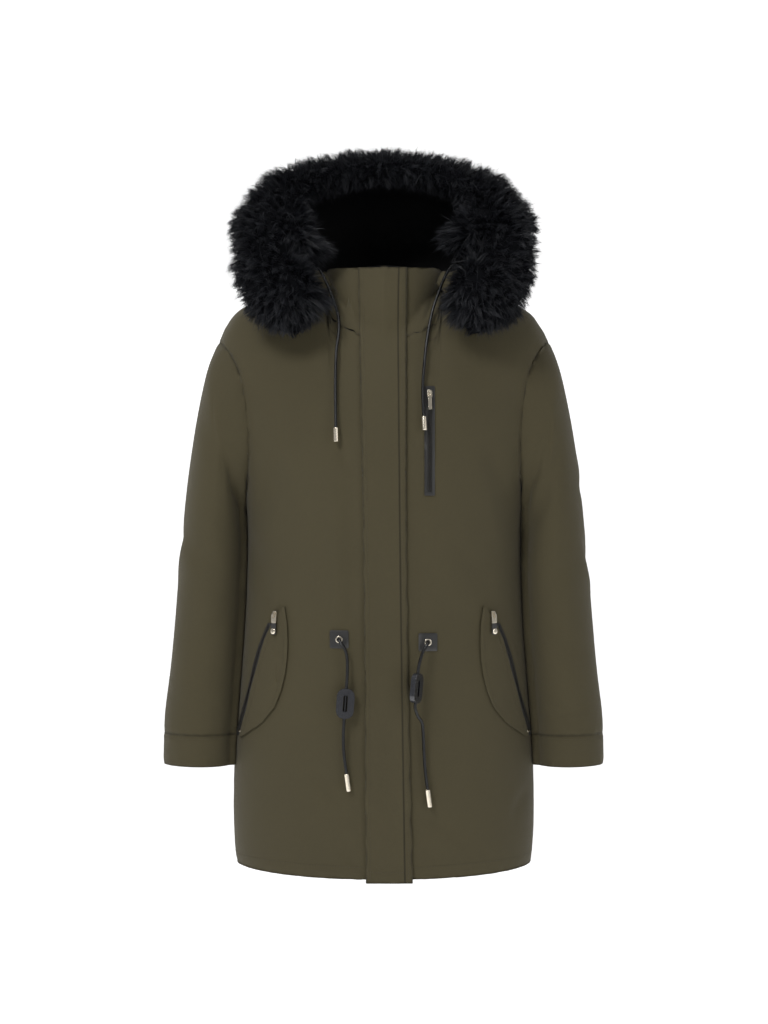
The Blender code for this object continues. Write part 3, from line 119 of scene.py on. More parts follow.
def through(points: tuple, count: int) -> Array:
    """Evenly spaced points along a smooth curve.

    Args:
        points: the points that the curve passes through.
        count: how many to return.

    Returns:
        The points as rows.
    """
    rows = np.array(points, float)
    padded = np.vstack([2 * rows[0] - rows[1], rows, 2 * rows[-1] - rows[-2]])
    fine = []
    for before, start, end, after in zip(padded, padded[1:], padded[2:], padded[3:]):
        for t in np.linspace(0, 1, 24, endpoint=False):
            bend = 2 * before - 5 * start + 4 * end - after
            twist = 3 * start - before - 3 * end + after
            fine.append(start + 0.5 * t * (end - before + t * (bend + t * twist)))
    fine = np.array([*fine, rows[-1]])
    walked = np.concatenate([[0], np.cumsum(norm(np.diff(fine, axis=0), axis=1))])
    wanted = np.linspace(0, walked[-1], count)
    return np.stack([np.interp(wanted, walked, column) for column in fine.T], axis=1)


def apply_modifier(piece: Piece, kind: str, **settings: float | str) -> None:
    """Add a modifier and apply it.

    Args:
        piece: the object to change.
        kind: the modifier's type.
        **settings: values of the modifier's properties.
    """
    select_only(piece)
    modifier = piece.modifiers.new(kind.title(), kind)
    for name, value in settings.items():
        setattr(modifier, name, value)
    bpy.ops.object.modifier_apply(modifier=modifier.name)


def edit_all(piece: Piece, operator: Callable, **settings: float) -> None:
    """Run an edit mode operator on a whole piece.

    Args:
        piece: the object to change.
        operator: the operator.
        **settings: the operator's settings.
    """
    select_only(piece)
    bpy.ops.object.mode_set(mode="EDIT")
    bpy.ops.mesh.select_all(action="SELECT")
    operator(**settings)
    bpy.ops.object.mode_set(mode="OBJECT")


def merged_copy(node: str, name: str) -> Piece:
    """A copy of a node's mesh with its loose triangles merged into one surface.

    Args:
        node: the node to copy.
        name: the copy's name.

    Returns:
        The copy, bare of materials.
    """
    copy = bpy.data.objects.new(name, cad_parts[node].data.copy())
    bpy.context.scene.collection.objects.link(copy)
    copy.data.materials.clear()
    edit_all(copy, bpy.ops.mesh.remove_doubles, threshold=1e-5)
    if copy.data.has_custom_normals:
        bpy.ops.mesh.customdata_custom_splitnormals_clear()
    return copy


def quadded(piece: Piece, face_turn: float = 50, shape_turn: float = 60) -> None:
    """Join the piece's triangles into quads.

    Args:
        piece: the object to change.
        face_turn: the widest turn between two joined triangles, in degrees.
        shape_turn: how far a quad's corners may be from square, in degrees.
    """
    turns = {"face_threshold": math.radians(face_turn), "shape_threshold": math.radians(shape_turn)}
    edit_all(piece, bpy.ops.mesh.tris_convert_to_quads, **turns)


def surface(pieces: list | tuple) -> BVHTree:
    """A search tree of several pieces' faces."""
    points, faces = [], []
    for piece in pieces:
        start = len(points)
        points.extend(points_of(piece).tolist())
        faces.extend([start + v for v in polygon.vertices] for polygon in piece.data.polygons)
    return BVHTree.FromPolygons(points, faces)


def node_surface(nodes: tuple) -> BVHTree:
    """A search tree of several plain nodes' faces."""
    copies = [merged_copy(node, "plain") for node in nodes]
    tree = surface(copies)
    for copy in copies:
        bpy.data.objects.remove(copy)
    return tree


def point_tree(points: Array) -> KDTree:
    """A search tree of points that gives a point's number."""
    tree = KDTree(len(points))
    for number, point in enumerate(points):
        tree.insert(point, number)
    tree.balance()
    return tree


def soft_shell(node: str, name: str, levels: int, rim_turn: float = 50) -> Piece:
    """A node's wall as a smooth surface through the node's own points, with its rims kept as edges.

    Args:
        node: the node to copy.
        name: the new piece's name.
        levels: how many times each face is halved.
        rim_turn: degrees between two faces past which their edge is a rim.

    Returns:
        The smooth piece. The attribute "rim" holds each point's distance to the nearest rim.
    """
    shell = merged_copy(node, name)
    quadded(shell)
    work = bmesh.new()
    work.from_mesh(shell.data)
    creases = work.edges.layers.float.get("crease_edge") or work.edges.layers.float.new("crease_edge")
    rims = []
    for edge in work.edges:
        if len(edge.link_faces) == 2 and edge.calc_face_angle(0.0) > math.radians(rim_turn):
            edge[creases] = 1.0
            rims.append([tuple(v.co) for v in edge.verts])
    work.to_mesh(shell.data)
    work.free()
    wanted = points_of(shell)
    smooth = shell.modifiers.new("Smooth", "SUBSURF")
    smooth.levels = smooth.render_levels = 1
    for _ in range(3):
        graph = bpy.context.evaluated_depsgraph_get()
        reached = points_of(shell.evaluated_get(graph))[: len(wanted)]
        move_points(shell, points_of(shell) + wanted - reached)
    smooth.levels = smooth.render_levels = levels
    select_only(shell)
    bpy.ops.object.modifier_apply(modifier=smooth.name)
    shares = np.linspace(0, 1, 8)[:, None]
    samples = np.concatenate([np.array(a) + shares * (np.array(b) - np.array(a)) for a, b in rims])
    tree = point_tree(samples)
    distances = np.array([tree.find(point)[2] for point in points_of(shell)], np.float32)
    store(shell, "rim", distances)
    shell.data.shade_smooth()
    return shell


def store(piece: Piece, name: str, values: Array) -> None:
    """Keep one number for each vertex as an attribute."""
    layer = piece.data.attributes.get(name) or piece.data.attributes.new(name, "FLOAT", "POINT")
    layer.data.foreach_set("value", np.asarray(values, np.float32))


def stored(piece: Piece, name: str) -> Array:
    """An attribute's number for each vertex."""
    values = np.empty(len(piece.data.vertices), np.float32)
    piece.data.attributes[name].data.foreach_get("value", values)
    return values


def shown(piece: Piece, finish: "Finish", body: str, *nodes: str) -> Piece:
    """Dress a finished piece, let it ride on its body and stand for its nodes.

    Args:
        piece: the finished piece.
        finish: what it is made of.
        body: the body that it moves with.
        *nodes: the nodes that it stands for, if any.

    Returns:
        The same piece.
    """
    piece.data.materials.clear()
    piece.data.materials.append(finish.material())
    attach(piece, body)
    if nodes:
        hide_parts(*nodes)
    LOG.info("%s: %d faces on %s, for %s", piece.name, len(piece.data.polygons), body, ", ".join(nodes))
    return piece


def mesh_piece(name: str, points: Array, faces: list) -> Piece:
    """A new object from points and faces, shaded smooth.

    Args:
        name: the new piece's name.
        points: its points as rows.
        faces: each face's point numbers.

    Returns:
        The piece.
    """
    mesh = bpy.data.meshes.new(name)
    mesh.from_pydata(points.tolist(), [], faces)
    mesh.shade_smooth()
    piece = bpy.data.objects.new(name, mesh)
    bpy.context.scene.collection.objects.link(piece)
    return piece


def repeated(name: str, pattern: Array, faces: list, places: list) -> Piece:
    """One mesh of many small copies.

    Args:
        name: the new piece's name.
        pattern: the copied shape's points.
        faces: the copied shape's faces.
        places: for each copy its middle and its three axes, as (middle, along, across, up).

    Returns:
        The joined piece.
    """
    points = [middle + pattern @ np.array([along, across, up]) for middle, along, across, up in places]
    step = len(pattern)
    all_faces = [[v + step * copy for v in face] for copy in range(len(places)) for face in faces]
    return mesh_piece(name, np.concatenate(points), all_faces)


# --- Finishes ---
class Wiring:
    """A node tree with short ways to add and join nodes."""

    def __init__(self, tree: bpy.types.NodeTree) -> None:
        """Keep the tree."""
        self.tree = tree

    def node(
        self, kind: str, settings: dict | None = None, **inputs: Socket | tuple | float
    ) -> bpy.types.Node:
        """Add a node.

        Args:
            kind: the node's type without its ShaderNode prefix, or a group's name.
            settings: values of the node's own properties.
            **inputs: a value or another node's output for each socket, its name in lower case with _.

        Returns:
            The new node.
        """
        group = bpy.data.node_groups.get(kind)
        made = self.tree.nodes.new("ShaderNodeGroup" if group else f"ShaderNode{kind}")
        if group:
            made.node_tree = group
        for name, value in (settings or {}).items():
            setattr(made, name, value)
        sockets = {}
        for socket in made.inputs:
            sockets.setdefault(socket.name.lower().replace(" ", "_"), socket)
        for name, value in inputs.items():
            socket = made.inputs[int(name[1:])] if name[0] == "_" else sockets[name]
            if isinstance(value, Socket):
                self.tree.links.new(value, socket)
            else:
                socket.default_value = value
        return made

    def sum(self, operation: str, one: Socket | float, two: Socket | float = 0.0) -> Socket:
        """The result of a Math node."""
        return self.node("Math", {"operation": operation}, _0=one, _1=two).outputs[0]

    def noise(self, vector: Socket, scale: float, detail: float = 2.0) -> Socket:
        """A noise of about 0.5."""
        return self.node("TexNoise", vector=vector, scale=scale, detail=detail).outputs["Fac"]

    def blend(self, share: Socket, one: Socket | tuple, two: Socket | tuple) -> Socket:
        """A mix of two colours."""
        return self.node("MixRGB", _0=share, _1=one, _2=two).outputs[0]


def new_group(name: str, inputs: dict, outputs: dict) -> tuple:
    """A shader node group.

    Args:
        name: the group's name.
        inputs: each input's name and first value, or None for a vector.
        outputs: each output's name and socket type.

    Returns:
        The wiring inside, the group's input node and its output node.
    """
    group = bpy.data.node_groups.new(name, "ShaderNodeTree")
    for label, value in inputs.items():
        kind = "NodeSocketVector" if value is None else "NodeSocketFloat"
        socket = group.interface.new_socket(label, in_out="INPUT", socket_type=kind)
        if value is not None:
            socket.default_value = value
    for label, kind in outputs.items():
        group.interface.new_socket(label, in_out="OUTPUT", socket_type=kind)
    wiring = Wiring(group)
    return wiring, group.nodes.new("NodeGroupInput"), group.nodes.new("NodeGroupOutput")


def build_groups() -> None:
    """The effects that several finishes share."""
    number = "NodeSocketFloat"
    weave_inputs = {"Cloth": None, "Ribs per metre": 900.0}
    wiring, given, made = new_group("TwillWeave", weave_inputs, {"Height": number})
    axes = wiring.node("SeparateXYZ", vector=given.outputs["Cloth"])
    slant = wiring.sum("ADD", axes.outputs[0], axes.outputs[1])
    rise = wiring.sum("SUBTRACT", axes.outputs[0], axes.outputs[1])
    turn = wiring.sum("MULTIPLY", given.outputs["Ribs per metre"], 2 * math.pi)
    ribs = wiring.sum("SINE", wiring.sum("MULTIPLY", slant, turn))
    floats = wiring.sum("SINE", wiring.sum("MULTIPLY", rise, wiring.sum("MULTIPLY", turn, 0.5)))
    height = wiring.sum("ADD", ribs, wiring.sum("MULTIPLY", floats, 0.35))
    wiring.tree.links.new(height, made.inputs["Height"])

    mottle_inputs = {"Place": None, "Size": 6.0, "Amount": 0.2}
    wiring, given, made = new_group("Mottle", mottle_inputs, {"Tone": number})
    broad = wiring.noise(given.outputs["Place"], 6.0, 3.0)
    scaled = wiring.node("VectorMath", {"operation": "SCALE"}, _0=given.outputs["Place"])
    wiring.tree.links.new(given.outputs["Size"], scaled.inputs["Scale"])
    fine = wiring.noise(scaled.outputs[0], 8.0, 4.0)
    middle = wiring.sum("SUBTRACT", wiring.sum("ADD", broad, fine), 1.0)
    tone = wiring.sum("ADD", wiring.sum("MULTIPLY", middle, given.outputs["Amount"]), 1.0)
    wiring.tree.links.new(tone, made.inputs["Tone"])


@dataclass(frozen=True)
class Finish:
    """What every finish has: its slot name and its shader's fixed values."""

    name: str
    slot: str
    colour: tuple
    roughness: float = 0.6
    metallic: float = 0.0
    specular: float = 0.5
    sheen: float = 0.0
    coat: float = 0.0

    def material(self) -> bpy.types.Material:
        """Build the finish's material at its first use.

        Returns:
            The material.
        """
        found = bpy.data.materials.get(self.name)
        if found:
            return found
        made = bpy.data.materials.new(self.name)
        made.use_nodes = True
        made.node_tree.nodes.clear()
        wiring = Wiring(made.node_tree)
        shader = wiring.node(
            "BsdfPrincipled",
            base_color=(*self.colour, 1.0),
            roughness=self.roughness,
            metallic=self.metallic,
            specular_ior_level=self.specular,
            sheen_weight=self.sheen,
            coat_weight=self.coat,
        )
        shader.inputs["Sheen Roughness"].default_value = 0.45
        self.dress(wiring, shader)
        wiring.node("OutputMaterial", surface=shader.outputs[0])
        return made

    def dress(self, wiring: Wiring, shader: bpy.types.Node) -> None:
        """Join the patterns that the finish shows to its shader."""

    def toned(self, wiring: Wiring, shader: bpy.types.Node, tone: Socket) -> None:
        """Multiply the finish's colour by a tone.

        Args:
            wiring: the material's nodes.
            shader: the shader that takes the colour.
            tone: a number of about 1.
        """
        scaled = wiring.node("VectorMath", {"operation": "SCALE"}, _0=self.colour)
        wiring.tree.links.new(tone, scaled.inputs["Scale"])
        wiring.tree.links.new(scaled.outputs[0], shader.inputs["Base Color"])

    def raised(self, wiring: Wiring, shader: bpy.types.Node, height: Socket, depth: float) -> None:
        """Raise the surface by a height of about one, times a depth in metres."""
        bump = wiring.node("Bump", height=height, distance=depth, strength=1.0)
        wiring.tree.links.new(bump.outputs[0], shader.inputs["Normal"])


@dataclass(frozen=True)
class Twill(Finish):
    """A close twill outside, a plain lining inside, and painted shade that darkens the seams and a sewn
    line.
    """

    lining: tuple = (0.008, 0.008, 0.009)
    ribs: float = 1100.0
    # How wide and how dark the painted shade is along each rim (seam_) and along a sewn line (row_).
    seam_width: float = 0.0035
    seam_tone: float = 0.6
    row_width: float = 0.0019
    row_tone: float = 0.3
    lint_tone: float = 0.25
    rub_spread: float = 0.05
    relief: float = 0.00006

    def dress(self, wiring: Wiring, shader: bpy.types.Node) -> None:
        """Weave, mottle, painted seam shade and lining."""
        place = wiring.node("TexCoord").outputs["Object"]
        cloth = wiring.node("UVMap", {"uv_map": "Cloth"}).outputs[0]
        weave = wiring.node("TwillWeave", cloth=cloth)
        weave.inputs["Ribs per metre"].default_value = self.ribs
        tone = wiring.node("Mottle", place=place, size=30.0, amount=0.16).outputs[0]
        # Painted shade: the colour darkens within seam_width of each panel's rim, where shade falls in the
        # seams.
        edge = wiring.node("Attribute", {"attribute_name": "seam"}).outputs["Fac"]
        shaded = {"from_max": self.seam_width, "to_min": self.seam_tone, "to_max": 1.0}
        seam = wiring.node("MapRange", value=edge, **shaded).outputs[0]
        # Painted shade along the sewn line, which also raises the bump below.
        row = wiring.sum("ABSOLUTE", wiring.node("Attribute", {"attribute_name": "row"}).outputs["Fac"])
        folded = {"from_max": self.row_width, "to_min": self.row_tone, "to_max": 1.0}
        fold = wiring.node("MapRange", value=row, **folded).outputs[0]
        seam = wiring.sum("MULTIPLY", seam, fold)
        lint = wiring.noise(place, 900.0, 1.0)
        linty = {"from_min": 0.72, "from_max": 0.8, "to_max": self.lint_tone}
        specks = wiring.node("MapRange", value=lint, **linty).outputs[0]
        shade = wiring.sum("ADD", wiring.sum("MULTIPLY", tone, seam), specks)
        scaled = wiring.node("VectorMath", {"operation": "SCALE"}, _0=self.colour)
        wiring.tree.links.new(shade, scaled.inputs["Scale"])
        inside = wiring.node("Attribute", {"attribute_name": "inside"}).outputs["Fac"]
        colour = wiring.blend(inside, scaled.outputs[0], (*self.lining, 1.0))
        wiring.tree.links.new(colour, shader.inputs["Base Color"])
        rubbed = {"from_min": 0.9, "from_max": 1.1, "to_min": self.roughness - self.rub_spread}
        rub = wiring.node("MapRange", value=tone, **rubbed)
        rub.inputs["To Max"].default_value = self.roughness + self.rub_spread
        wiring.tree.links.new(rub.outputs[0], shader.inputs["Roughness"])
        slub = wiring.noise(place, 260.0, 3.0)
        height = wiring.sum("ADD", weave.outputs[0], wiring.sum("MULTIPLY", slub, 1.6))
        height = wiring.sum("ADD", height, wiring.sum("MULTIPLY", fold, 6.0))
        self.raised(wiring, shader, height, self.relief)


@dataclass(frozen=True)
class Satin(Finish):
    """A smooth dark lining with a faint weave."""

    def dress(self, wiring: Wiring, shader: bpy.types.Node) -> None:
        """Mottle and a soft ripple."""
        place = wiring.node("TexCoord").outputs["Object"]
        self.toned(wiring, shader, wiring.node("Mottle", place=place, size=40.0, amount=0.3).outputs[0])
        self.raised(wiring, shader, wiring.noise(place, 60.0, 3.0), 0.0006)


@dataclass(frozen=True)
class Pile(Finish):
    """Long hair: each strand has its own tone, dark at the root and paler at the tip."""

    tip: tuple = (0.03, 0.032, 0.038)

    def dress(self, wiring: Wiring, shader: bpy.types.Node) -> None:
        """Tone from root to tip, by strand."""
        along = wiring.node("Attribute", {"attribute_name": "along"}).outputs["Fac"]
        tone = wiring.node("Attribute", {"attribute_name": "tone"}).outputs["Fac"]
        share = wiring.sum("MULTIPLY", wiring.sum("POWER", along, 1.6), tone)
        colour = wiring.blend(share, (*self.colour, 1.0), (*self.tip, 1.0))
        wiring.tree.links.new(colour, shader.inputs["Base Color"])


@dataclass(frozen=True)
class Braid(Finish):
    """A round cord in a smooth tight braid."""

    def dress(self, wiring: Wiring, shader: bpy.types.Node) -> None:
        """Two crossing helices of yarn from the cord's own length and turn, with painted shade and light
        that follow the yarn's height.
        """
        cloth = wiring.node("UVMap", {"uv_map": "Cloth"}).outputs[0]
        axes = wiring.node("SeparateXYZ", vector=cloth)
        run = wiring.sum("MULTIPLY", axes.outputs[0], 2800.0)
        turn = wiring.sum("MULTIPLY", axes.outputs[1], 2 * math.pi * 4)
        one = wiring.sum("SINE", wiring.sum("ADD", run, turn))
        two = wiring.sum("SINE", wiring.sum("SUBTRACT", run, turn))
        yarn = wiring.sum("MULTIPLY", one, two)
        # Painted shade and highlight: the colour is darker where the yarn is low and paler where it is
        # raised, as in the bump below.
        tone = wiring.sum("ADD", wiring.sum("MULTIPLY", yarn, 0.35), 1.0)
        self.toned(wiring, shader, tone)
        self.raised(wiring, shader, yarn, 0.00012)


@dataclass(frozen=True)
class Grained(Finish):
    """Leather with a fine grain, or polished horn with faint clouds."""

    grain: float = 900.0
    depth: float = 0.00016

    def dress(self, wiring: Wiring, shader: bpy.types.Node) -> None:
        """Grain, clouds and wear on the edges."""
        place = wiring.node("TexCoord").outputs["Object"]
        cells = wiring.node("TexVoronoi", vector=place, scale=self.grain).outputs["Distance"]
        tone = wiring.node("Mottle", place=place, size=60.0, amount=0.5).outputs[0]
        worn = wiring.node("NewGeometry").outputs["Pointiness"]
        edge = wiring.node("MapRange", value=worn, from_min=0.52, from_max=0.6, to_max=1.4).outputs[0]
        self.toned(wiring, shader, wiring.sum("ADD", tone, edge))
        spread = {"from_min": 0.7, "from_max": 1.3, "to_min": self.roughness * 0.7}
        rough = wiring.node("MapRange", value=tone, **spread)
        rough.inputs["To Max"].default_value = min(self.roughness * 1.3, 1.0)
        wiring.tree.links.new(rough.outputs[0], shader.inputs["Roughness"])
        self.raised(wiring, shader, cells, self.depth)


@dataclass(frozen=True)
class Woven(Finish):
    """A zip's woven tape, or sewing thread."""

    threads: float = 1500.0

    def dress(self, wiring: Wiring, shader: bpy.types.Node) -> None:
        """A fine herringbone, painted darker in its grooves and paler on its ridges."""
        place = wiring.node("TexCoord").outputs["Object"]
        wave = wiring.node("TexWave", {"bands_direction": "DIAGONAL"}, vector=place, scale=self.threads / 6)
        # Painted shade and highlight: the colour follows the same bands as the bump, darker in the low ones
        # and paler on the high ones.
        tone = wiring.sum("ADD", wiring.sum("MULTIPLY", wave.outputs["Fac"], 0.4), 0.8)
        self.toned(wiring, shader, tone)
        self.raised(wiring, shader, wave.outputs["Fac"], 0.0001)


@dataclass(frozen=True)
class Plated(Finish):
    """Polished plate with faint brushing, and duller in its hollows."""

    dull: float = 0.12

    def dress(self, wiring: Wiring, shader: bpy.types.Node) -> None:
        """Brushing and tarnish."""
        place = wiring.node("TexCoord").outputs["Object"]
        tone = wiring.node("Mottle", place=place, size=80.0, amount=0.22).outputs[0]
        worn = wiring.node("NewGeometry").outputs["Pointiness"]
        hollow = wiring.node("MapRange", value=worn, from_min=0.44, from_max=0.5, to_min=0.55).outputs[0]
        self.toned(wiring, shader, wiring.sum("MULTIPLY", tone, hollow))
        spread = {"from_min": 0.85, "from_max": 1.15, "to_min": self.roughness + self.dull}
        rough = wiring.node("MapRange", value=tone, **spread)
        rough.inputs["To Max"].default_value = self.roughness
        wiring.tree.links.new(rough.outputs[0], shader.inputs["Roughness"])
        self.raised(wiring, shader, wiring.noise(place, 500.0, 3.0), 0.00004)


OLIVE = Twill("Olive twill", "olive_cloth", (0.0610, 0.0515, 0.0270), 0.8, specular=0.2, sheen=0.06)
OLIVE_THREAD = Woven("Olive thread", "olive_cloth", (0.060, 0.050, 0.030), 0.7, specular=0.3)
LINING = Satin("Black lining", "black_lining", (0.006, 0.006, 0.007), 0.6, specular=0.2)
FUR = Pile("Blue black fur", "black_fur", (0.0032, 0.0038, 0.0058), 0.5, specular=0.25)
PELT = Satin("Fur ground", "black_fur", (0.003, 0.0032, 0.004), 0.9, specular=0.05)
CORD = Braid("Black cord", "black_cord", (0.003, 0.003, 0.0034), 0.27, specular=0.4)
LEATHER = Grained("Black leather", "black_leather", (0.016, 0.0155, 0.015), 0.4, specular=0.5)
HORN = Grained("Grey horn", "grey_horn", (0.012, 0.0125, 0.015), 0.2, coat=0.5, grain=120.0, depth=0.00003)
TAPE = Woven("Zip tape", "zip_tape", (0.012, 0.0115, 0.0105), 0.75)
TEETH = Finish("Zip teeth", "zip_tape", (0.03, 0.028, 0.025), 0.35, 0.6)
GOLD = Plated("Pale gold plate", "pale_gold", (0.86, 0.78, 0.64), 0.16, 1.0)


# --- Cloth ---
class Facing(Enum):
    """The side of the coat that a crease shows on: the axis that its line runs across, and the way out."""

    FRONT = (0, (0.0, -1.0, 0.0))
    BACK = (0, (0.0, 1.0, 0.0))
    RIGHT = (1, (-1.0, 0.0, 0.0))
    LEFT = (1, (1.0, 0.0, 0.0))


FRONT, BACK, LEFT, RIGHT = Facing.FRONT, Facing.BACK, Facing.LEFT, Facing.RIGHT


@dataclass(frozen=True)
class Crease:
    """A soft trough with a ridge beside it, along a line of (across, height) in metres."""

    facing: Facing
    line: tuple
    half_width: float
    depth: float
    ridge_place: float = 1.7
    ridge_share: float = 0.45

    def relief(self, points: Array, ways: Array) -> Array:
        """How far each point moves out.

        Args:
            points: the cloth's points.
            ways: the way out of the cloth at each.

        Returns:
            A distance for each point, below zero in the trough.
        """
        axis, out = self.facing.value
        flat = points[:, (axis, 2)]
        path = through(tuple((u, z, 0.0) for u, z in self.line), 24)[:, :2]
        steps = np.diff(path, axis=0)
        nearest = np.full(len(flat), 9.0)
        share = np.zeros(len(flat))
        beside = np.zeros(len(flat))
        for number, (start, step) in enumerate(zip(path, steps)):
            off = flat - start
            t = np.clip(off @ step / (step @ step), 0, 1)
            away = norm(off - t[:, None] * step, axis=1)
            closer = away < nearest
            nearest = np.where(closer, away, nearest)
            share = np.where(closer, (number + t) / len(steps), share)
            beside = np.where(closer, np.sign(off[:, 0] * step[1] - off[:, 1] * step[0]), beside)
        seen = smoothstep(-0.05, 0.45, ways @ np.array(out))
        ends = np.sin(np.pi * np.clip(share, 0, 1)) ** 0.6
        wide = self.half_width * (0.7 + 0.5 * ends)
        trough = np.exp(-((nearest / wide) ** 2))
        ridge = np.exp(-(((nearest * beside - self.ridge_place * wide) / wide) ** 2))
        return self.depth * ends * seen * (self.ridge_share * ridge - trough)


def ripple(points: Array, length: float, seed: int, stretch: tuple = (1.0, 1.0, 1.0)) -> Array:
    """A smooth random wave of about -1 to 1.

    Args:
        points: where to find it.
        length: how long its waves are.
        seed: the seed of the random numbers.
        stretch: how much longer the waves are along each axis.

    Returns:
        The wave's height at each point.
    """
    count = 14
    draw = np.random.default_rng(seed)
    ways = unit(draw.normal(size=(count, 3))) / np.array(stretch)
    phases = draw.uniform(0, 2 * math.pi, count)
    waves = np.sin(points @ ways.T * (2 * math.pi / length) * draw.uniform(0.6, 1.5, count) + phases)
    return waves.sum(axis=1) / math.sqrt(count)


@dataclass(frozen=True)
class Drape:
    """How a panel's cloth lies: its creases and the sizes of its smaller waves."""

    creases: tuple = ()
    sag: float = 0.0008
    sag_length: float = 0.14
    pucker: float = 0.00035
    pucker_length: float = 0.022
    pucker_reach: float = 0.014
    valley: float = 0.0011
    valley_reach: float = 0.0045
    seed: int = 1


@dataclass
class Panel:
    """A cut piece of cloth, made from its node."""

    node: str
    drape: Drape
    heart: Array = field(default_factory=lambda: np.array([0.0, 0.0, 0.0]))
    heart_share: Array = field(default_factory=lambda: np.array([0.3, 0.0, 1.0]))
    levels: int = 3
    lined: bool = True
    finish: Finish = OLIVE
    calm: Array = field(default_factory=lambda: np.zeros((0, 3)))
    calm_reach: float = 0.022
    sewn_line: tuple = ()

    def middles(self, points: Array) -> Array:
        """The point inside the coat that each point of the wall faces away from."""
        return self.heart + points * self.heart_share

    def build(self) -> Piece:
        """The panel's smooth wall with its creases, dressed.

        Returns:
            The finished piece.
        """
        name = f"cloth_{self.node}"
        shell = soft_shell(self.node, name, self.levels)
        points, normals, rim = points_of(shell), normals_of(shell), stored(shell, "rim")
        outer = ((points - self.middles(points)) * normals).sum(axis=1) > 0
        ways = self.ways_out(points, normals, outer & (rim > 0.002))
        waves = self.relief(points, ways, rim)
        valley = self.drape.valley * np.exp(-((rim / self.drape.valley_reach) ** 2)) * outer
        move_points(shell, points + ways * (waves - valley)[:, None])
        # "seam" and "row" set where the cloth material paints shade along the seams and the sewn line.
        store(shell, "seam", rim)
        store(shell, "row", self.from_line(points) if self.sewn_line else np.ones(len(points)))
        store(shell, "inside", (~outer & (rim > 0.0015) & self.lined).astype(float))
        self.lay_cloth_map(shell)
        return shown(shell, self.finish, COAT, self.node)

    def from_line(self, points: Array) -> Array:
        """How far each point is from the sewn line, seen from the front.

        Args:
            points: the cloth's points.

        Returns:
            The distances, below zero on one side of the line, and 1 m past its ends.
        """
        line = through(tuple((x, z, 0.0) for x, z in self.sewn_line), 240)[:, :2]
        ways = unit(np.gradient(line, axis=0))
        off = points[:, None, (0, 2)] - line[None]
        nearest = (off**2).sum(axis=2).argmin(axis=1)
        found = off[np.arange(len(points)), nearest]
        turned = ways[nearest]
        beside = found[:, 0] * turned[:, 1] - found[:, 1] * turned[:, 0]
        beyond = np.abs((found * turned).sum(axis=1))
        return np.where(beyond > 0.006, 1.0, beside)

    def ways_out(self, points: Array, normals: Array, sure: Array) -> Array:
        """The way out at each point: the normal of the nearest point on the outer side.

        Args:
            points: the wall's points.
            normals: the wall's normals there.
            sure: which points are on the outer side.

        Returns:
            A direction for each point.
        """
        tree = point_tree(points[sure])
        nearest = np.array([tree.find(point)[1] for point in points])
        return normals[sure][nearest]

    def relief(self, points: Array, ways: Array, rim: Array) -> Array:
        """How far the cloth waves in or out.

        Args:
            points: the cloth's points.
            ways: the way out at each.
            rim: each point's distance to the nearest rim.

        Returns:
            A distance for each point.
        """
        drape = self.drape
        waves = sum((crease.relief(points, ways) for crease in drape.creases), np.zeros(len(points)))
        waves += drape.sag * ripple(points, drape.sag_length, drape.seed, (1.0, 1.0, 2.2))
        near = np.exp(-((rim / drape.pucker_reach) ** 2))
        waves += drape.pucker * near * ripple(points, drape.pucker_length, drape.seed + 50)
        for spot in self.calm:
            waves *= 1 - np.exp(-((norm(points - spot, axis=1) / self.calm_reach) ** 4))
        return waves

    def lay_cloth_map(self, shell: Piece) -> None:
        """Lay a map in metres, round the panel and up it, that the weave follows.

        Args:
            shell: the panel.
        """
        points = points_of(shell)
        off = points - self.middles(points)
        turn = np.arctan2(off[:, 0], -off[:, 1])
        reach = float(np.median(norm(off[:, :2], axis=1)))
        loops = corners_of(shell)
        starts = np.empty(len(shell.data.polygons), np.int32)
        shell.data.polygons.foreach_get("loop_start", starts)
        turns = turn[loops]
        first = np.repeat(turns[starts], np.diff([*starts, len(loops)]))
        turns = np.where(turns - first > math.pi, turns - 2 * math.pi, turns)
        turns = np.where(first - turns > math.pi, turns + 2 * math.pi, turns)
        cloth_map = shell.data.uv_layers.new(name="Cloth")
        rows = np.stack([turns * reach, points[loops, 2]], axis=1)
        cloth_map.data.foreach_set("uv", rows.astype(np.float32).ravel())


SEAM_SHARE = 0.52
SEAM_FADE = 0.0036
SEAM_ROUNDS = 3


def close_seams(pieces: list, reach: float = 0.006, edge: float = 0.0) -> None:
    """Bring the edges of neighbouring panels together, so that no gap shows along a seam.

    Args:
        pieces: the panels that are sewn to each other.
        reach: the widest gap that a seam closes.
        edge: how far in from the rim the cloth moves all the way.
    """
    rims = [stored(piece, "rim") for piece in pieces]
    shares = [SEAM_SHARE * (1 - smoothstep(edge, edge + SEAM_FADE, rim)) for rim in rims]
    for _ in range(SEAM_ROUNDS):
        trees = [surface([piece]) for piece in pieces]
        for number, piece in enumerate(pieces):
            points = points_of(piece)
            others = [tree for other, tree in enumerate(trees) if other != number]
            for index in np.flatnonzero(shares[number] > 0):
                found = [tree.find_nearest(Vector(points[index]), reach) for tree in others]
                found = [hit for hit in found if hit[0] is not None]
                if found:
                    hit = min(found, key=lambda one: one[3])
                    points[index] += shares[number][index] * (np.array(hit[0]) - points[index])
            move_points(piece, points)


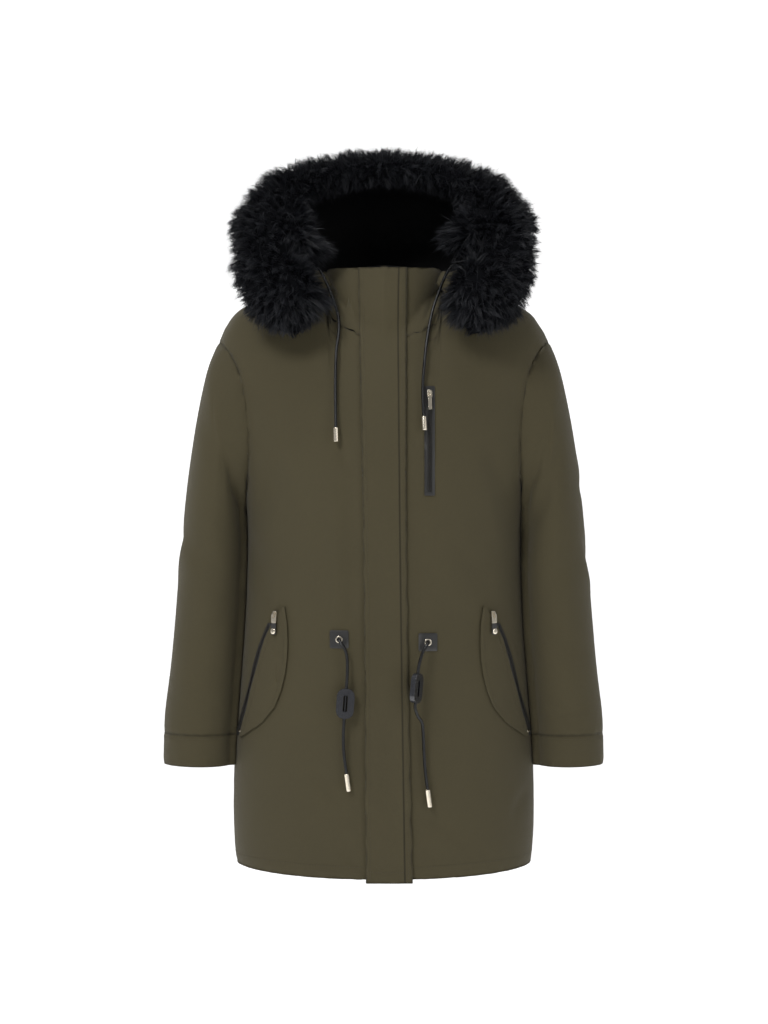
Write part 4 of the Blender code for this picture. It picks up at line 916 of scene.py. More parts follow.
@dataclass
class NeckSeam:
    """Slides the seam between the collar and a front along the cloth to where it shows."""

    lines: tuple = (
        ((0.030, -0.0125), (0.046, -0.0060), (0.062, 0.0030), (0.078, 0.0120), (0.100, 0.0280)),
        ((0.030, -0.0125), (0.046, -0.0085), (0.062, -0.0035), (0.078, 0.0010), (0.100, 0.0070)),
    )
    inner: float = 0.031
    outer: float = 0.089
    fade: float = 0.011
    top: float = 0.092
    foot: float = -0.160
    frontmost: float = -0.012
    wall: float = 0.004
    step: float = 0.003
    beside: float = 0.0035
    stretch: float = 2.2
    least: float = 0.01

    def slide(self, cloth: dict) -> None:
        """Move the points of both fronts and both collar halves.

        Args:
            cloth: the finished pieces by node name.
        """
        for (side, sign), line in zip(SIDES.items(), self.lines):
            pieces = [cloth[f"collar_{side}"], cloth[f"front_{side}"]]
            before = surface(pieces)
            seam = self.seam(points_of(pieces[0]), sign)
            for piece in pieces:
                points = points_of(piece)
                across = np.abs(points[:, 0])
                near = (across > self.inner) & (across < self.outer) & (points[:, 1] < self.frontmost)
                near &= (points[:, 2] > self.foot) & (points[:, 2] < self.top)
                for index in np.flatnonzero(near):
                    points[index] = self.moved(points[index], across[index], before, seam, line)
                move_points(piece, points)

    def seam(self, collar: Array, sign: int) -> tuple:
        """The seam's present height at steps across.

        Args:
            collar: the collar half's points, the lowest of which are on the seam.
            sign: 1 for the wearer's left, -1 for the right.

        Returns:
            The places across and the heights.
        """
        front = collar[collar[:, 1] < -self.wall]
        steps = np.arange(self.inner, self.outer, self.step)
        heights = [front[np.abs(front[:, 0] * sign - x) < self.beside][:, 2].min() for x in steps]
        return steps, np.array(heights)

    def moved(self, point: Array, across: float, cloth: BVHTree, seam: tuple, line: tuple) -> Array:
        """Where one point slides to: lower, and as far behind the cloth's face as before.

        Args:
            point: the point.
            across: its distance from the coat's middle.
            cloth: the faces of both pieces before they slide.
            seam: the seam's present places across and heights.
            line: the seam's wanted places across and heights.

        Returns:
            The point's new place.
        """
        height = float(np.interp(across, *seam))
        wanted = float(np.interp(across, [x for x, _ in line], [z for _, z in line]))
        drop = max(height - wanted, 0.0) * float(smoothstep(self.outer, self.outer - self.fade, across))
        if point[2] > height:
            share = (self.top - point[2]) / (self.top - height)
        else:
            share = 1 - (height - point[2]) / (self.stretch * drop + self.least)
        lower = point[2] - drop * min(max(share, 0.0), 1.0)
        before = cloth.ray_cast(Vector((point[0], -1.0, point[2])), Vector((0.0, 1.0, 0.0)))[0]
        after = cloth.ray_cast(Vector((point[0], -1.0, lower)), Vector((0.0, 1.0, 0.0)))[0]
        if before is None or after is None:
            return point
        return np.array((point[0], after.y + min(point[1] - before.y, self.wall), lower))


def spots(*nodes: str) -> Array:
    """The middles of the nodes' boxes."""
    boxes = [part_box(node) for node in nodes]
    return np.array([(np.array(low) + np.array(high)) / 2 for low, high in boxes])


BODY = ("front_right", "front_left", "back")


@dataclass
class Shell:
    """The coat's body and sleeves."""

    right_creases: tuple = (
        Crease(FRONT, ((-0.071, -0.161), (-0.05, -0.19), (-0.034, -0.222)), 0.011, 0.0019),
        Crease(FRONT, ((-0.052, -0.215), (-0.047, -0.33), (-0.05, -0.43)), 0.011, 0.0026),
        Crease(FRONT, ((-0.05, -0.48), (-0.044, -0.56), (-0.048, -0.64)), 0.01, 0.0021),
        Crease(FRONT, ((-0.11, -0.64), (-0.085, -0.655), (-0.062, -0.684)), 0.009, 0.0016),
        Crease(FRONT, ((-0.06, -0.752), (-0.045, -0.766), (-0.03, -0.782)), 0.007, 0.0014),
        Crease(FRONT, ((-0.196, -0.3), (-0.176, -0.36), (-0.17, -0.39)), 0.013, 0.0029),
        Crease(FRONT, ((-0.15, -0.18), (-0.168, -0.24), (-0.19, -0.29)), 0.013, 0.0022),
    )
    left_creases: tuple = (
        Crease(FRONT, ((0.218, -0.664), (0.203, -0.684), (0.187, -0.712)), 0.008, 0.0022),
        Crease(FRONT, ((0.09, -0.3), (0.13, -0.345), (0.15, -0.4)), 0.015, 0.0018),
        Crease(FRONT, ((0.052, -0.25), (0.05, -0.34), (0.056, -0.43)), 0.011, 0.0016),
        Crease(FRONT, ((0.15, -0.17), (0.172, -0.23), (0.186, -0.3)), 0.013, 0.0022),
        Crease(FRONT, ((0.06, -0.7), (0.095, -0.72), (0.12, -0.752)), 0.01, 0.0014),
    )
    back_creases: tuple = (
        Crease(BACK, ((-0.18, -0.13), (-0.12, -0.19), (-0.08, -0.27)), 0.014, 0.0032),
        Crease(BACK, ((0.185, -0.14), (0.14, -0.215), (0.11, -0.3)), 0.013, 0.0029),
        Crease(BACK, ((-0.14, -0.395), (-0.05, -0.415), (0.03, -0.4)), 0.013, 0.0022),
        Crease(BACK, ((0.04, -0.45), (0.11, -0.47), (0.17, -0.44)), 0.012, 0.0022),
        Crease(BACK, ((-0.19, -0.56), (-0.15, -0.63), (-0.145, -0.7)), 0.014, 0.0019),
        Crease(BACK, ((0.16, -0.58), (0.135, -0.66), (0.15, -0.74)), 0.013, 0.0019),
    )
    left_sleeve_creases: tuple = (
        Crease(FRONT, ((0.246, -0.215), (0.22, -0.275), (0.206, -0.335)), 0.009, 0.0035),
        Crease(FRONT, ((0.262, -0.1), (0.24, -0.14), (0.226, -0.185)), 0.01, 0.0022),
        Crease(FRONT, ((0.3, -0.33), (0.262, -0.352), (0.232, -0.392)), 0.01, 0.0021),
        Crease(FRONT, ((0.232, -0.43), (0.262, -0.47), (0.3, -0.482)), 0.011, 0.0019),
        Crease(FRONT, ((0.236, -0.545), (0.262, -0.56), (0.3, -0.556)), 0.009, 0.0016),
        Crease(LEFT, ((-0.04, -0.3), (-0.01, -0.345), (0.03, -0.36)), 0.012, 0.0032),
        Crease(LEFT, ((0.03, -0.18), (0.0, -0.22), (-0.04, -0.235)), 0.012, 0.0024),
        Crease(BACK, ((0.215, -0.24), (0.25, -0.3), (0.295, -0.33)), 0.011, 0.0035),
        Crease(BACK, ((0.225, -0.38), (0.26, -0.405), (0.3, -0.4)), 0.011, 0.0029),
    )
    right_sleeve_creases: tuple = (
        Crease(FRONT, ((-0.236, -0.17), (-0.218, -0.235), (-0.208, -0.3)), 0.009, 0.0032),
        Crease(FRONT, ((-0.27, -0.125), (-0.25, -0.16), (-0.236, -0.215)), 0.01, 0.0019),
        Crease(FRONT, ((-0.3, -0.295), (-0.268, -0.33), (-0.24, -0.345)), 0.011, 0.0022),
        Crease(FRONT, ((-0.228, -0.42), (-0.26, -0.45), (-0.3, -0.448)), 0.011, 0.0019),
        Crease(FRONT, ((-0.232, -0.56), (-0.262, -0.545), (-0.3, -0.556)), 0.009, 0.0016),
        Crease(RIGHT, ((-0.03, -0.28), (0.0, -0.33), (0.04, -0.345)), 0.012, 0.0032),
        Crease(BACK, ((-0.215, -0.25), (-0.25, -0.29), (-0.295, -0.305)), 0.011, 0.0035),
        Crease(BACK, ((-0.23, -0.4), (-0.262, -0.43), (-0.3, -0.425)), 0.011, 0.0027),
    )
    contact: float = 0.0007
    contact_reach: float = 0.012
    contact_top: float = -0.20
    contact_fade: float = 0.05
    contact_neighbours: int = 14

    def build(self) -> dict:
        """Build the panels.

        Returns:
            The panels by node name.
        """
        built = {}
        hard = ("pocket_slider", "pocket_stop", "waist_patch")
        hardware = {side: spots(*(f"{node}_{side}" for node in hard)) for side in SIDES}
        hardware["left"] = np.concatenate([hardware["left"], spots("chest_slider", "chest_pull")])
        fronts = {"right": self.right_creases, "left": self.left_creases}
        for side in SIDES:
            drape = Drape(fronts[side], seed=11)
            panel = Panel(f"front_{side}", drape, calm=hardware[side])
            built[f"front_{side}"] = panel.build()
        built["back"] = Panel("back", Drape(self.back_creases, sag=0.0011, seed=11)).build()
        sleeves = {"right": self.right_sleeve_creases, "left": self.left_sleeve_creases}
        for side, sign in SIDES.items():
            for part in ("sleeve", "cuff"):
                drape = Drape(sleeves[side] if part == "sleeve" else (), sag=0.0009, seed=17 + sign)
                panel = SleevePanel(f"{part}_{side}", drape, lined=part == "sleeve")
                built[f"{part}_{side}"] = panel.build()
        body = [built[name] for name in BODY]
        for side, sign in SIDES.items():
            self.lean_on(body, [built[f"sleeve_{side}"], built[f"cuff_{side}"]], sign)
        return built

    def lean_on(self, body: list, arm: list, sign: int) -> None:
        """Move a sleeve's inner side against the body's side, as a hanging sleeve touches it.

        Args:
            body: the body's panels.
            arm: the sleeve and its cuff.
            sign: 1 for the wearer's left, -1 for the right.
        """
        tree = surface(body)
        for piece in arm:
            points = points_of(piece)
            shift = np.zeros(len(points))
            inward = Vector((-sign, 0.0, 0.0))
            for index, point in enumerate(points):
                if point[2] > self.contact_top:
                    continue
                hit = tree.ray_cast(Vector(point), inward, self.contact_reach)
                if hit[0] is not None:
                    shift[index] = max(hit[3] - self.contact, 0.0)
            lower = smoothstep(0.0, self.contact_fade, self.contact_top - points[:, 2])
            nearby = point_tree(points)
            smoothed = shift.copy()
            for index in np.flatnonzero(points[:, 2] < self.contact_top):
                around = nearby.find_n(points[index], self.contact_neighbours)
                smoothed[index] = float(np.mean([shift[found[1]] for found in around]))
            smoothed = np.where(shift > 0, np.minimum(smoothed, shift), smoothed * 0.5)
            points[:, 0] -= sign * smoothed * lower
            move_points(piece, points)


@dataclass
class SleevePanel(Panel):
    """A panel round an arm, whose middle leans with the arm."""

    def middles(self, points: Array) -> Array:
        """The middle of the sleeve's own box at each height.

        Args:
            points: the sleeve's points.

        Returns:
            The middle that each point faces away from.
        """
        heights = np.linspace(points[:, 2].min(), points[:, 2].max(), 13)
        centres = []
        for low, high in zip(heights, heights[1:]):
            row = points[(points[:, 2] >= low) & (points[:, 2] <= high)]
            centres.append((row.min(axis=0) + row.max(axis=0)) / 2)
        known = np.array(centres)
        found = [np.interp(points[:, 2], known[:, 2], known[:, axis]) for axis in (0, 1)]
        return np.column_stack([*found, points[:, 2] * 0.98 - 0.01])


@dataclass
class Collar:
    """The stand collar in three pieces."""

    def build(self) -> dict:
        """Build the pieces.

        Returns:
            The pieces by node name.
        """
        drape = Drape(sag=0.0006, sag_length=0.09, seed=23, valley=0.0007, pucker=0.0003)
        names = ("collar_right", "collar_left", "collar_back")
        return {name: Panel(name, drape).build() for name in names}


@dataclass
class Closing:
    """The storm flap over the front closing, and the closed zip behind it."""

    # Where the flap is sewn down; the cloth material paints shade and raises a bump along this line.
    sewn_line: tuple = (
        (0.0215, 0.09),
        (0.0205, 0.02),
        (0.021, -0.08),
        (0.0228, -0.3),
        (0.0262, -0.55),
        (0.03, -0.793),
    )

    def build(self) -> dict:
        """Build the pieces.

        Returns:
            The pieces by node name.
        """
        creases = (
            Crease(FRONT, ((-0.010, -0.300), (0.000, -0.420), (-0.008, -0.520)), 0.014, 0.0013),
            Crease(FRONT, ((0.014, -0.560), (0.006, -0.660), (0.012, -0.740)), 0.012, 0.0013),
        )
        drape = Drape(creases, sag=0.0008, seed=11, valley=0.0006, valley_reach=0.003, pucker=0.0004)
        placket = Panel("placket", drape, lined=False, sewn_line=self.sewn_line).build()
        strip = merged_copy("front_zip", "closed_zip")
        shown(strip, TAPE, COAT, "front_zip")
        return {"placket": placket}


HOOD_PANELS = ("hood_side_right", "hood_side_left", "hood_centre")


@dataclass
class Hood:
    """The hood's three panels and its lining."""

    creases: tuple = (
        Crease(BACK, ((-0.06, 0.06), (-0.03, 0.1), (-0.04, 0.15)), 0.012, 0.0035),
        Crease(BACK, ((0.07, 0.05), (0.05, 0.09), (0.06, 0.13)), 0.012, 0.0032),
        Crease(BACK, ((-0.02, 0.03), (0.01, 0.05), (0.04, 0.035)), 0.01, 0.0029),
        Crease(LEFT, ((0.03, 0.07), (0.08, 0.085), (0.12, 0.065)), 0.012, 0.0035),
        Crease(RIGHT, ((0.03, 0.08), (0.08, 0.09), (0.12, 0.075)), 0.012, 0.0035),
        Crease(LEFT, ((0.05, 0.14), (0.09, 0.15), (0.12, 0.17)), 0.013, 0.0022),
        Crease(RIGHT, ((0.05, 0.15), (0.09, 0.14), (0.125, 0.16)), 0.013, 0.0022),
    )
    heart: tuple = (0.0, 0.055, 0.110)

    def build(self) -> dict:
        """Build the pieces.

        Returns:
            The pieces by node name.
        """
        built = {}
        heart, still = np.array(self.heart), np.zeros(3)
        drape = Drape(self.creases, sag=0.0016, sag_length=0.11, seed=31, valley=0.0008)
        for node in HOOD_PANELS:
            calm = spots(node.replace("hood_side", "ruff_snap")) if "side" in node else np.zeros((0, 3))
            built[node] = Panel(node, drape, heart, still, lined=False, calm=calm).build()
        inner = Drape(self.creases, sag=0.0016, sag_length=0.11, seed=31, valley=0.0, pucker=0.0)
        lining = Panel("hood_lining", inner, heart, still, levels=2, lined=False, finish=LINING)
        built["hood_lining"] = lining.build()
        return built


# --- What lies on the cloth ---
class Ground:
    """The finished cloth under the trimmings, and the plain node that they were placed on."""

    reach = 0.02

    def __init__(self, nodes: tuple, pieces: list | tuple) -> None:
        """Make search trees of the plain nodes and of the finished pieces.

        Args:
            nodes: the plain nodes' names.
            pieces: the finished pieces.
        """
        self.plain = node_surface(nodes)
        self.cloth = surface(pieces)

    def settle(self, points: Array) -> Array:
        """Move points from the plain node to the finished cloth, each at its own height over it.

        Args:
            points: the points as placed on the plain node.

        Returns:
            The points over the cloth.
        """
        settled = []
        for point in points:
            place, way, _, _ = self.plain.find_nearest(Vector(point))
            height = (Vector(point) - place).dot(way)
            hit, normal, _, _ = self.cloth.ray_cast(place + way * self.reach, -way, 2 * self.reach)
            settled.append(tuple(hit + normal * height) if hit else tuple(point))
        return np.array(settled)

    def drop(self, start: Array, way: Array) -> tuple | None:
        """Where a ray meets the cloth, and the cloth's normal there."""
        hit, normal, _, _ = self.cloth.ray_cast(Vector(start), Vector(way), 1.0)
        return (np.array(hit), np.array(normal)) if hit else None


def laid_piece(node: str, name: str, ground: Ground, edge: float, cell: float = 0.005) -> Piece:
    """A flat trimming from its node, its edges rounded, laid on the finished cloth.

    Args:
        node: the node to copy.
        name: the new piece's name.
        ground: the cloth that it lies on.
        edge: the width of its rounded edges.
        cell: the size of the cells that it is cut into, so that it can follow the cloth.

    Returns:
        The piece.
    """
    piece = merged_copy(node, name)
    select_only(piece)
    bpy.ops.object.mode_set(mode="EDIT")
    bpy.ops.mesh.select_all(action="SELECT")
    bpy.ops.mesh.dissolve_limited(angle_limit=math.radians(4))
    low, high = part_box(node)
    for axis in (0, 2):
        way = [0.0, 0.0, 0.0]
        way[axis] = 1.0
        for place in np.arange(low[axis] + cell * 0.37, high[axis], cell):
            middle = [0.0, 0.0, 0.0]
            middle[axis] = float(place)
            bpy.ops.mesh.select_all(action="SELECT")
            bpy.ops.mesh.bisect(plane_co=middle, plane_no=way)
    bpy.ops.object.mode_set(mode="OBJECT")
    move_points(piece, ground.settle(points_of(piece)))
    sharp = {"limit_method": "ANGLE", "angle_limit": math.radians(50)}
    apply_modifier(piece, "BEVEL", width=edge, segments=2, **sharp)
    shade(piece, 60)
    return piece


def shade(piece: Piece, turn: float) -> None:
    """Shade smooth, but for edges sharper than a turn in degrees."""
    select_only(piece)
    bpy.ops.object.shade_smooth_by_angle(angle=math.radians(turn))


def machined(node: str, edge: float, segments: int = 2) -> Piece:
    """A hard node with every corner broken.

    Args:
        node: the node to copy.
        edge: the width of the broken corners.
        segments: how many faces round each corner.

    Returns:
        The piece.
    """
    piece = merged_copy(node, f"detail_{node}")
    edit_all(piece, bpy.ops.mesh.dissolve_limited, angle_limit=math.radians(3))
    apply_modifier(piece, "BEVEL", width=edge, segments=segments, angle_limit=math.radians(35))
    shade(piece, 40)
    apply_modifier(piece, "WEIGHTED_NORMAL", weight=100, keep_sharp=True)
    return piece


def along_rows(at: float, walked: Array, rows: Array) -> Array:
    """The row at a distance along a path, between its neighbours."""
    return np.array([np.interp(at, walked, rows[:, k]) for k in range(3)])


def inside_edge(points: Array, heights: Array, reach: float, side: int, inset: float) -> list:
    """Where a row runs inside a piece's edge.

    Args:
        points: the piece's points.
        heights: the row's heights.
        reach: how far over and under each height the edge is looked for.
        side: 1 for the edge at +X, -1 for the one at -X.
        inset: the row's distance from the edge.

    Returns:
        The place across at each height.
    """
    found = []
    for height in heights:
        near = points[np.abs(points[:, 2] - height) < reach]
        found.append(((near[:, 0] * side).max() - inset) * side)
    return found


class Stitches:
    """Rows of sewing thread."""

    ring = 6
    length = 0.0031
    pitch = 0.0043
    radius = 0.00032
    stations = (
        (-0.5, 0.35, -0.5),
        (-0.36, 0.9, 0.25),
        (0.0, 1.0, 0.55),
        (0.36, 0.9, 0.25),
        (0.5, 0.35, -0.5),
    )

    def pattern(self) -> tuple:
        """One stitch: a thread that dives into the cloth at both ends.

        Returns:
            Its points and its faces.
        """
        points, faces = [], []
        for along, size, rise in self.stations:
            for k in range(self.ring):
                turn = 2 * math.pi * k / self.ring
                across = math.cos(turn) * self.radius * size
                up = (math.sin(turn) * size + rise) * self.radius
                points.append((along * self.length, across, up))
        last = len(self.stations) - 1
        for row in range(last):
            for k in range(self.ring):
                here, after = row * self.ring + k, row * self.ring + (k + 1) % self.ring
                faces.append([here, here + self.ring, after + self.ring, after])
        faces.append(list(range(self.ring)))
        faces.append(list(range(last * self.ring, (last + 1) * self.ring))[::-1])
        return np.array(points), faces

    def row(self, ground: Ground, starts: Array, ways: Array) -> list:
        """The places of one row's stitches.

        Args:
            ground: the cloth that is sewn.
            starts: points outside the cloth along the row.
            ways: for each, the direction to the cloth.

        Returns:
            A place for each stitch, as repeated() takes it.
        """
        met = [ground.drop(start, way) for start, way in zip(starts, ways)]
        met = [found for found in met if found]
        if len(met) < 3:
            return []
        path = np.array([found[0] for found in met])
        normals = np.array([found[1] for found in met])
        walked = np.concatenate([[0], np.cumsum(norm(np.diff(path, axis=0), axis=1))])
        places = []
        for at in np.arange(self.pitch / 2, walked[-1], self.pitch):
            middle, behind, ahead = (along_rows(at + step, walked, path) for step in (0.0, -0.001, 0.001))
            along = unit(ahead - behind)
            across = unit(np.cross(along_rows(at, walked, normals), along))
            places.append((middle, along, across, np.cross(along, across)))
        return places

    def front_row(self, ground: Ground, across: Array | list, heights: Array) -> list:
        """The places of a row that is sewn from the front, from its places across and their heights."""
        starts = np.stack([across, np.full(len(across), -0.5), heights], axis=1)
        return self.row(ground, starts, np.tile((0.0, 1.0, 0.0), (len(across), 1)))

    def sew(self, name: str, places: list) -> Piece:
        """All the stitches at their places as one piece."""
        return shown(repeated(name, *self.pattern(), places), OLIVE_THREAD, COAT)


@dataclass
class Topstitching:
    """The sewn rows on the storm flap, hem, armholes, cuffs and pocket flaps."""

    placket_inset: float = 0.0065
    hem_height: float = -0.785
    hem_dip: float = 0.006
    hem_rise: float = 0.016
    seam_inset: float = 0.0055
    cuff_inset: float = 0.006

    def build(self, cloth: dict) -> None:
        """Sew every row.

        Args:
            cloth: the finished pieces by node name.
        """
        sewing = Stitches()
        self.placket(sewing, cloth["placket"])
        self.hem(sewing, [cloth[name] for name in BODY])
        self.armholes(sewing, cloth)
        self.cuffs(sewing, cloth)
        self.flaps(sewing, cloth)

    def placket(self, sewing: Stitches, placket: Piece) -> None:
        """A row just inside each long edge of the storm flap, and one at its foot.

        Args:
            sewing: the stitches.
            placket: the finished flap.
        """
        points = points_of(placket)
        ground = Ground((), (placket,))
        low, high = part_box("placket")
        places = []
        heights = np.arange(low.z + 0.006, high.z - 0.004, 0.01)
        for side in (-1, 1):
            row = inside_edge(points, heights, 0.008, side, self.placket_inset)
            places += sewing.front_row(ground, row, heights)
        foot = np.arange(low.x + 0.008, high.x - 0.008, 0.004)
        places += sewing.front_row(ground, foot, np.full(len(foot), low.z + self.hem_rise))
        sewing.sew("stitches_placket", places)

    def hem(self, sewing: Stitches, panels: list) -> None:
        """A row round the hem, on the fronts and the back.

        Args:
            sewing: the stitches.
            panels: the body's panels.
        """
        ground = Ground((), panels)
        places = []
        for low, high in ((-0.5, math.pi + 0.5), (math.pi + 0.5, 2 * math.pi - 0.5)):
            turns = np.linspace(low, high, 140) + math.pi / 2 + math.pi
            ways = np.stack([-np.sin(turns), np.cos(turns), np.zeros(140)], axis=1)
            starts = -ways * 0.5
            starts[:, 2] = self.hem_height - self.hem_dip * np.cos(turns) ** 2 + self.hem_rise
            places += sewing.row(ground, starts, ways)
        sewing.sew("stitches_hem", places)

    def armholes(self, sewing: Stitches, cloth: dict) -> None:
        """A row along the front of each armhole, on the body.

        Args:
            sewing: the stitches.
            cloth: the finished pieces by node name.
        """
        places = []
        heights = np.arange(-0.235, -0.03, 0.006)
        for side, sign in SIDES.items():
            front = cloth[f"front_{side}"]
            row = inside_edge(points_of(front), heights, 0.006, sign, self.seam_inset)
            places += sewing.front_row(Ground((), (front,)), row, heights)
        sewing.sew("stitches_armholes", places)

    def cuffs(self, sewing: Stitches, cloth: dict) -> None:
        """A row at the top and at the foot of each cuff.

        Args:
            sewing: the stitches.
            cloth: the finished pieces by node name.
        """
        places = []
        for side in SIDES:
            ground = Ground((), (cloth[f"cuff_{side}"],))
            low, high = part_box(f"cuff_{side}")
            turns = np.linspace(0, 2 * math.pi, 80)
            ways = np.stack([np.cos(turns), np.sin(turns), np.zeros(80)], axis=1)
            for height in (low.z + self.cuff_inset, high.z - self.cuff_inset):
                starts = -ways * 0.15 + np.array([(low.x + high.x) / 2, (low.y + high.y) / 2, height])
                places += sewing.row(ground, starts, ways)
        sewing.sew("stitches_cuffs", places)

    def flaps(self, sewing: Stitches, cloth: dict) -> None:
        """A row inside each long edge of the pocket flaps.

        Args:
            sewing: the stitches.
            cloth: the finished pieces by node name.
        """
        places = []
        for side in SIDES:
            flap = cloth[f"pocket_flap_{side}"]
            ground = Ground((), (flap,))
            low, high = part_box(f"pocket_flap_{side}")
            heights = np.arange(low.z + 0.012, high.z - 0.010, 0.005)
            for edge in (-1, 1):
                row = inside_edge(points_of(flap), heights, 0.004, edge, self.cuff_inset)
                places += sewing.front_row(ground, row, heights)
        sewing.sew("stitches_flaps", places)


# --- Cords ---
@dataclass(frozen=True)
class CordRun:
    """A free cord's route, from where it leaves the coat to its metal end."""

    node: str
    route: tuple
    carries: tuple
    diameter: float = 0.0045
    sides: int = 14
    step: float = 0.0035

    def build(self, lay: str, pieces: dict) -> Piece:
        """The cord as a round tube with a map along and round it.

        Args:
            pieces: the finished pieces on the cord, by node name; not used.

        Returns:
            The finished cord.
        """
        rough = np.array(self.route)
        count = int(norm(np.diff(rough, axis=0), axis=1).sum() / self.step)
        path = through(self.route, count)
        ways = unit(np.gradient(path, axis=0))
        across = unit(np.cross(np.cross(ways, np.array([1.0, 0.35, 0.05])), ways))
        up = np.cross(ways, across)
        turns = np.arange(self.sides) * 2 * math.pi / self.sides
        radius = self.diameter / 2
        rings = [
            p + radius * (np.outer(np.cos(turns), a) + np.outer(np.sin(turns), u))
            for p, a, u in zip(path, across, up)
        ]
        faces = []
        for row in range(count - 1):
            for k in range(self.sides):
                here, after = row * self.sides + k, row * self.sides + (k + 1) % self.sides
                faces.append([here, after, after + self.sides, here + self.sides])
        faces.append(list(range(self.sides))[::-1])
        faces.append(list(range((count - 1) * self.sides, count * self.sides)))
        cord = mesh_piece(f"cloth_{self.node}", np.concatenate(rings), faces)
        self.lay_map(cord)
        shown(cord, CORD, COAT, self.node)
        length = float(norm(np.diff(path, axis=0), axis=1).sum())
        LOG.info("%s is %.3f m long", self.node, length)
        return cord

    def lay_map(self, cord: Piece) -> None:
        """Lay a map that holds metres along the cord and turns round it.

        Args:
            cord: the tube.
        """
        cloth_map = cord.data.uv_layers.new(name="Cloth")
        for polygon in cord.data.polygons:
            for corner, loop in enumerate(polygon.loop_indices):
                row, k = divmod(polygon.vertices[corner], self.sides)
                last = k == 0 and corner in (1, 2) and len(polygon.vertices) == 4
                around = self.sides if last else k
                cloth_map.data[loop].uv = (row * self.step, around / self.sides)


HOOD_CORD_RIGHT = (
    (-0.109, -0.066, 0.0995),
    (-0.102, -0.0675, 0.097),
    (-0.0945, -0.069, 0.09),
    (-0.085, -0.072, 0.072),
    (-0.075, -0.0775, 0.048),
    (-0.0665, -0.088, 0.019),
    (-0.0655, -0.0975, -0.004),
    (-0.069, -0.109, -0.034),
    (-0.07, -0.121, -0.081),
    (-0.0695, -0.1285, -0.118),
    (-0.069, -0.1325, -0.144),
)
HOOD_CORD_LEFT = (
    (0.109, -0.066, 0.0998),
    (0.1025, -0.0675, 0.097),
    (0.0955, -0.069, 0.09),
    (0.087, -0.0715, 0.074),
    (0.079, -0.0765, 0.053),
    (0.071, -0.085, 0.029),
    (0.064, -0.098, -0.004),
    (0.0595, -0.111, -0.038),
    (0.056, -0.122, -0.08),
    (0.056, -0.128, -0.108),
    (0.057, -0.132, -0.128),
)
WAIST_CORD_RIGHT = (
    (-0.0642, -0.1372, -0.448),
    (-0.065, -0.142, -0.4482),
    (-0.062, -0.145, -0.452),
    (-0.0555, -0.1455, -0.462),
    (-0.0525, -0.1452, -0.476),
    (-0.0524, -0.145, -0.498),
    (-0.0535, -0.145, -0.515),
    (-0.0546, -0.145, -0.531),
    (-0.0558, -0.145, -0.547),
    (-0.0569, -0.145, -0.563),
    (-0.058, -0.144, -0.585),
    (-0.0573, -0.1433, -0.6095),
    (-0.0536, -0.1428, -0.6391),
)
WAIST_CORD_LEFT = (
    (0.063, -0.1367, -0.452),
    (0.0638, -0.1415, -0.4522),
    (0.0612, -0.146, -0.4555),
    (0.056, -0.15, -0.464),
    (0.0512, -0.1535, -0.478),
    (0.0485, -0.1555, -0.492),
    (0.0472, -0.1564, -0.5076),
    (0.0458, -0.1574, -0.5233),
    (0.0443, -0.1584, -0.54),
    (0.0442, -0.1586, -0.544),
    (0.0482, -0.154, -0.556),
    (0.0545, -0.147, -0.567),
    (0.0562, -0.144, -0.588),
    (0.0574, -0.1433, -0.615),
    (0.0592, -0.143, -0.638),
    (0.0622, -0.1425, -0.6618),
)


@dataclass
class Cords:
    """The draw cords of the hood and the waist, with their ends, toggles and eyelets."""

    def build(self) -> None:
        """Every cord with what is on it."""
        pieces = {}
        for side in SIDES:
            for node in (f"hood_tip_{side}", f"waist_tip_{side}"):
                pieces[node] = shown(machined(node, 0.0006), GOLD, COAT, node)
            toggle = f"waist_toggle_{side}"
            pieces[toggle] = shown(machined(toggle, 0.0006), HORN, COAT, toggle)
            for node in (f"waist_eyelet_{side}", f"ruff_snap_{side}"):
                shown(machined(node, 0.0004), GOLD, COAT, node)
        routes = {"right": (HOOD_CORD_RIGHT, WAIST_CORD_RIGHT), "left": (HOOD_CORD_LEFT, WAIST_CORD_LEFT)}
        for side, (hood, waist) in routes.items():
            CordRun(f"hood_cord_{side}", hood, (f"hood_tip_{side}",)).build("hanging", pieces)
            carried = (f"waist_toggle_{side}", f"waist_tip_{side}")
            CordRun(f"waist_cord_{side}", waist, carried).build("hanging", pieces)


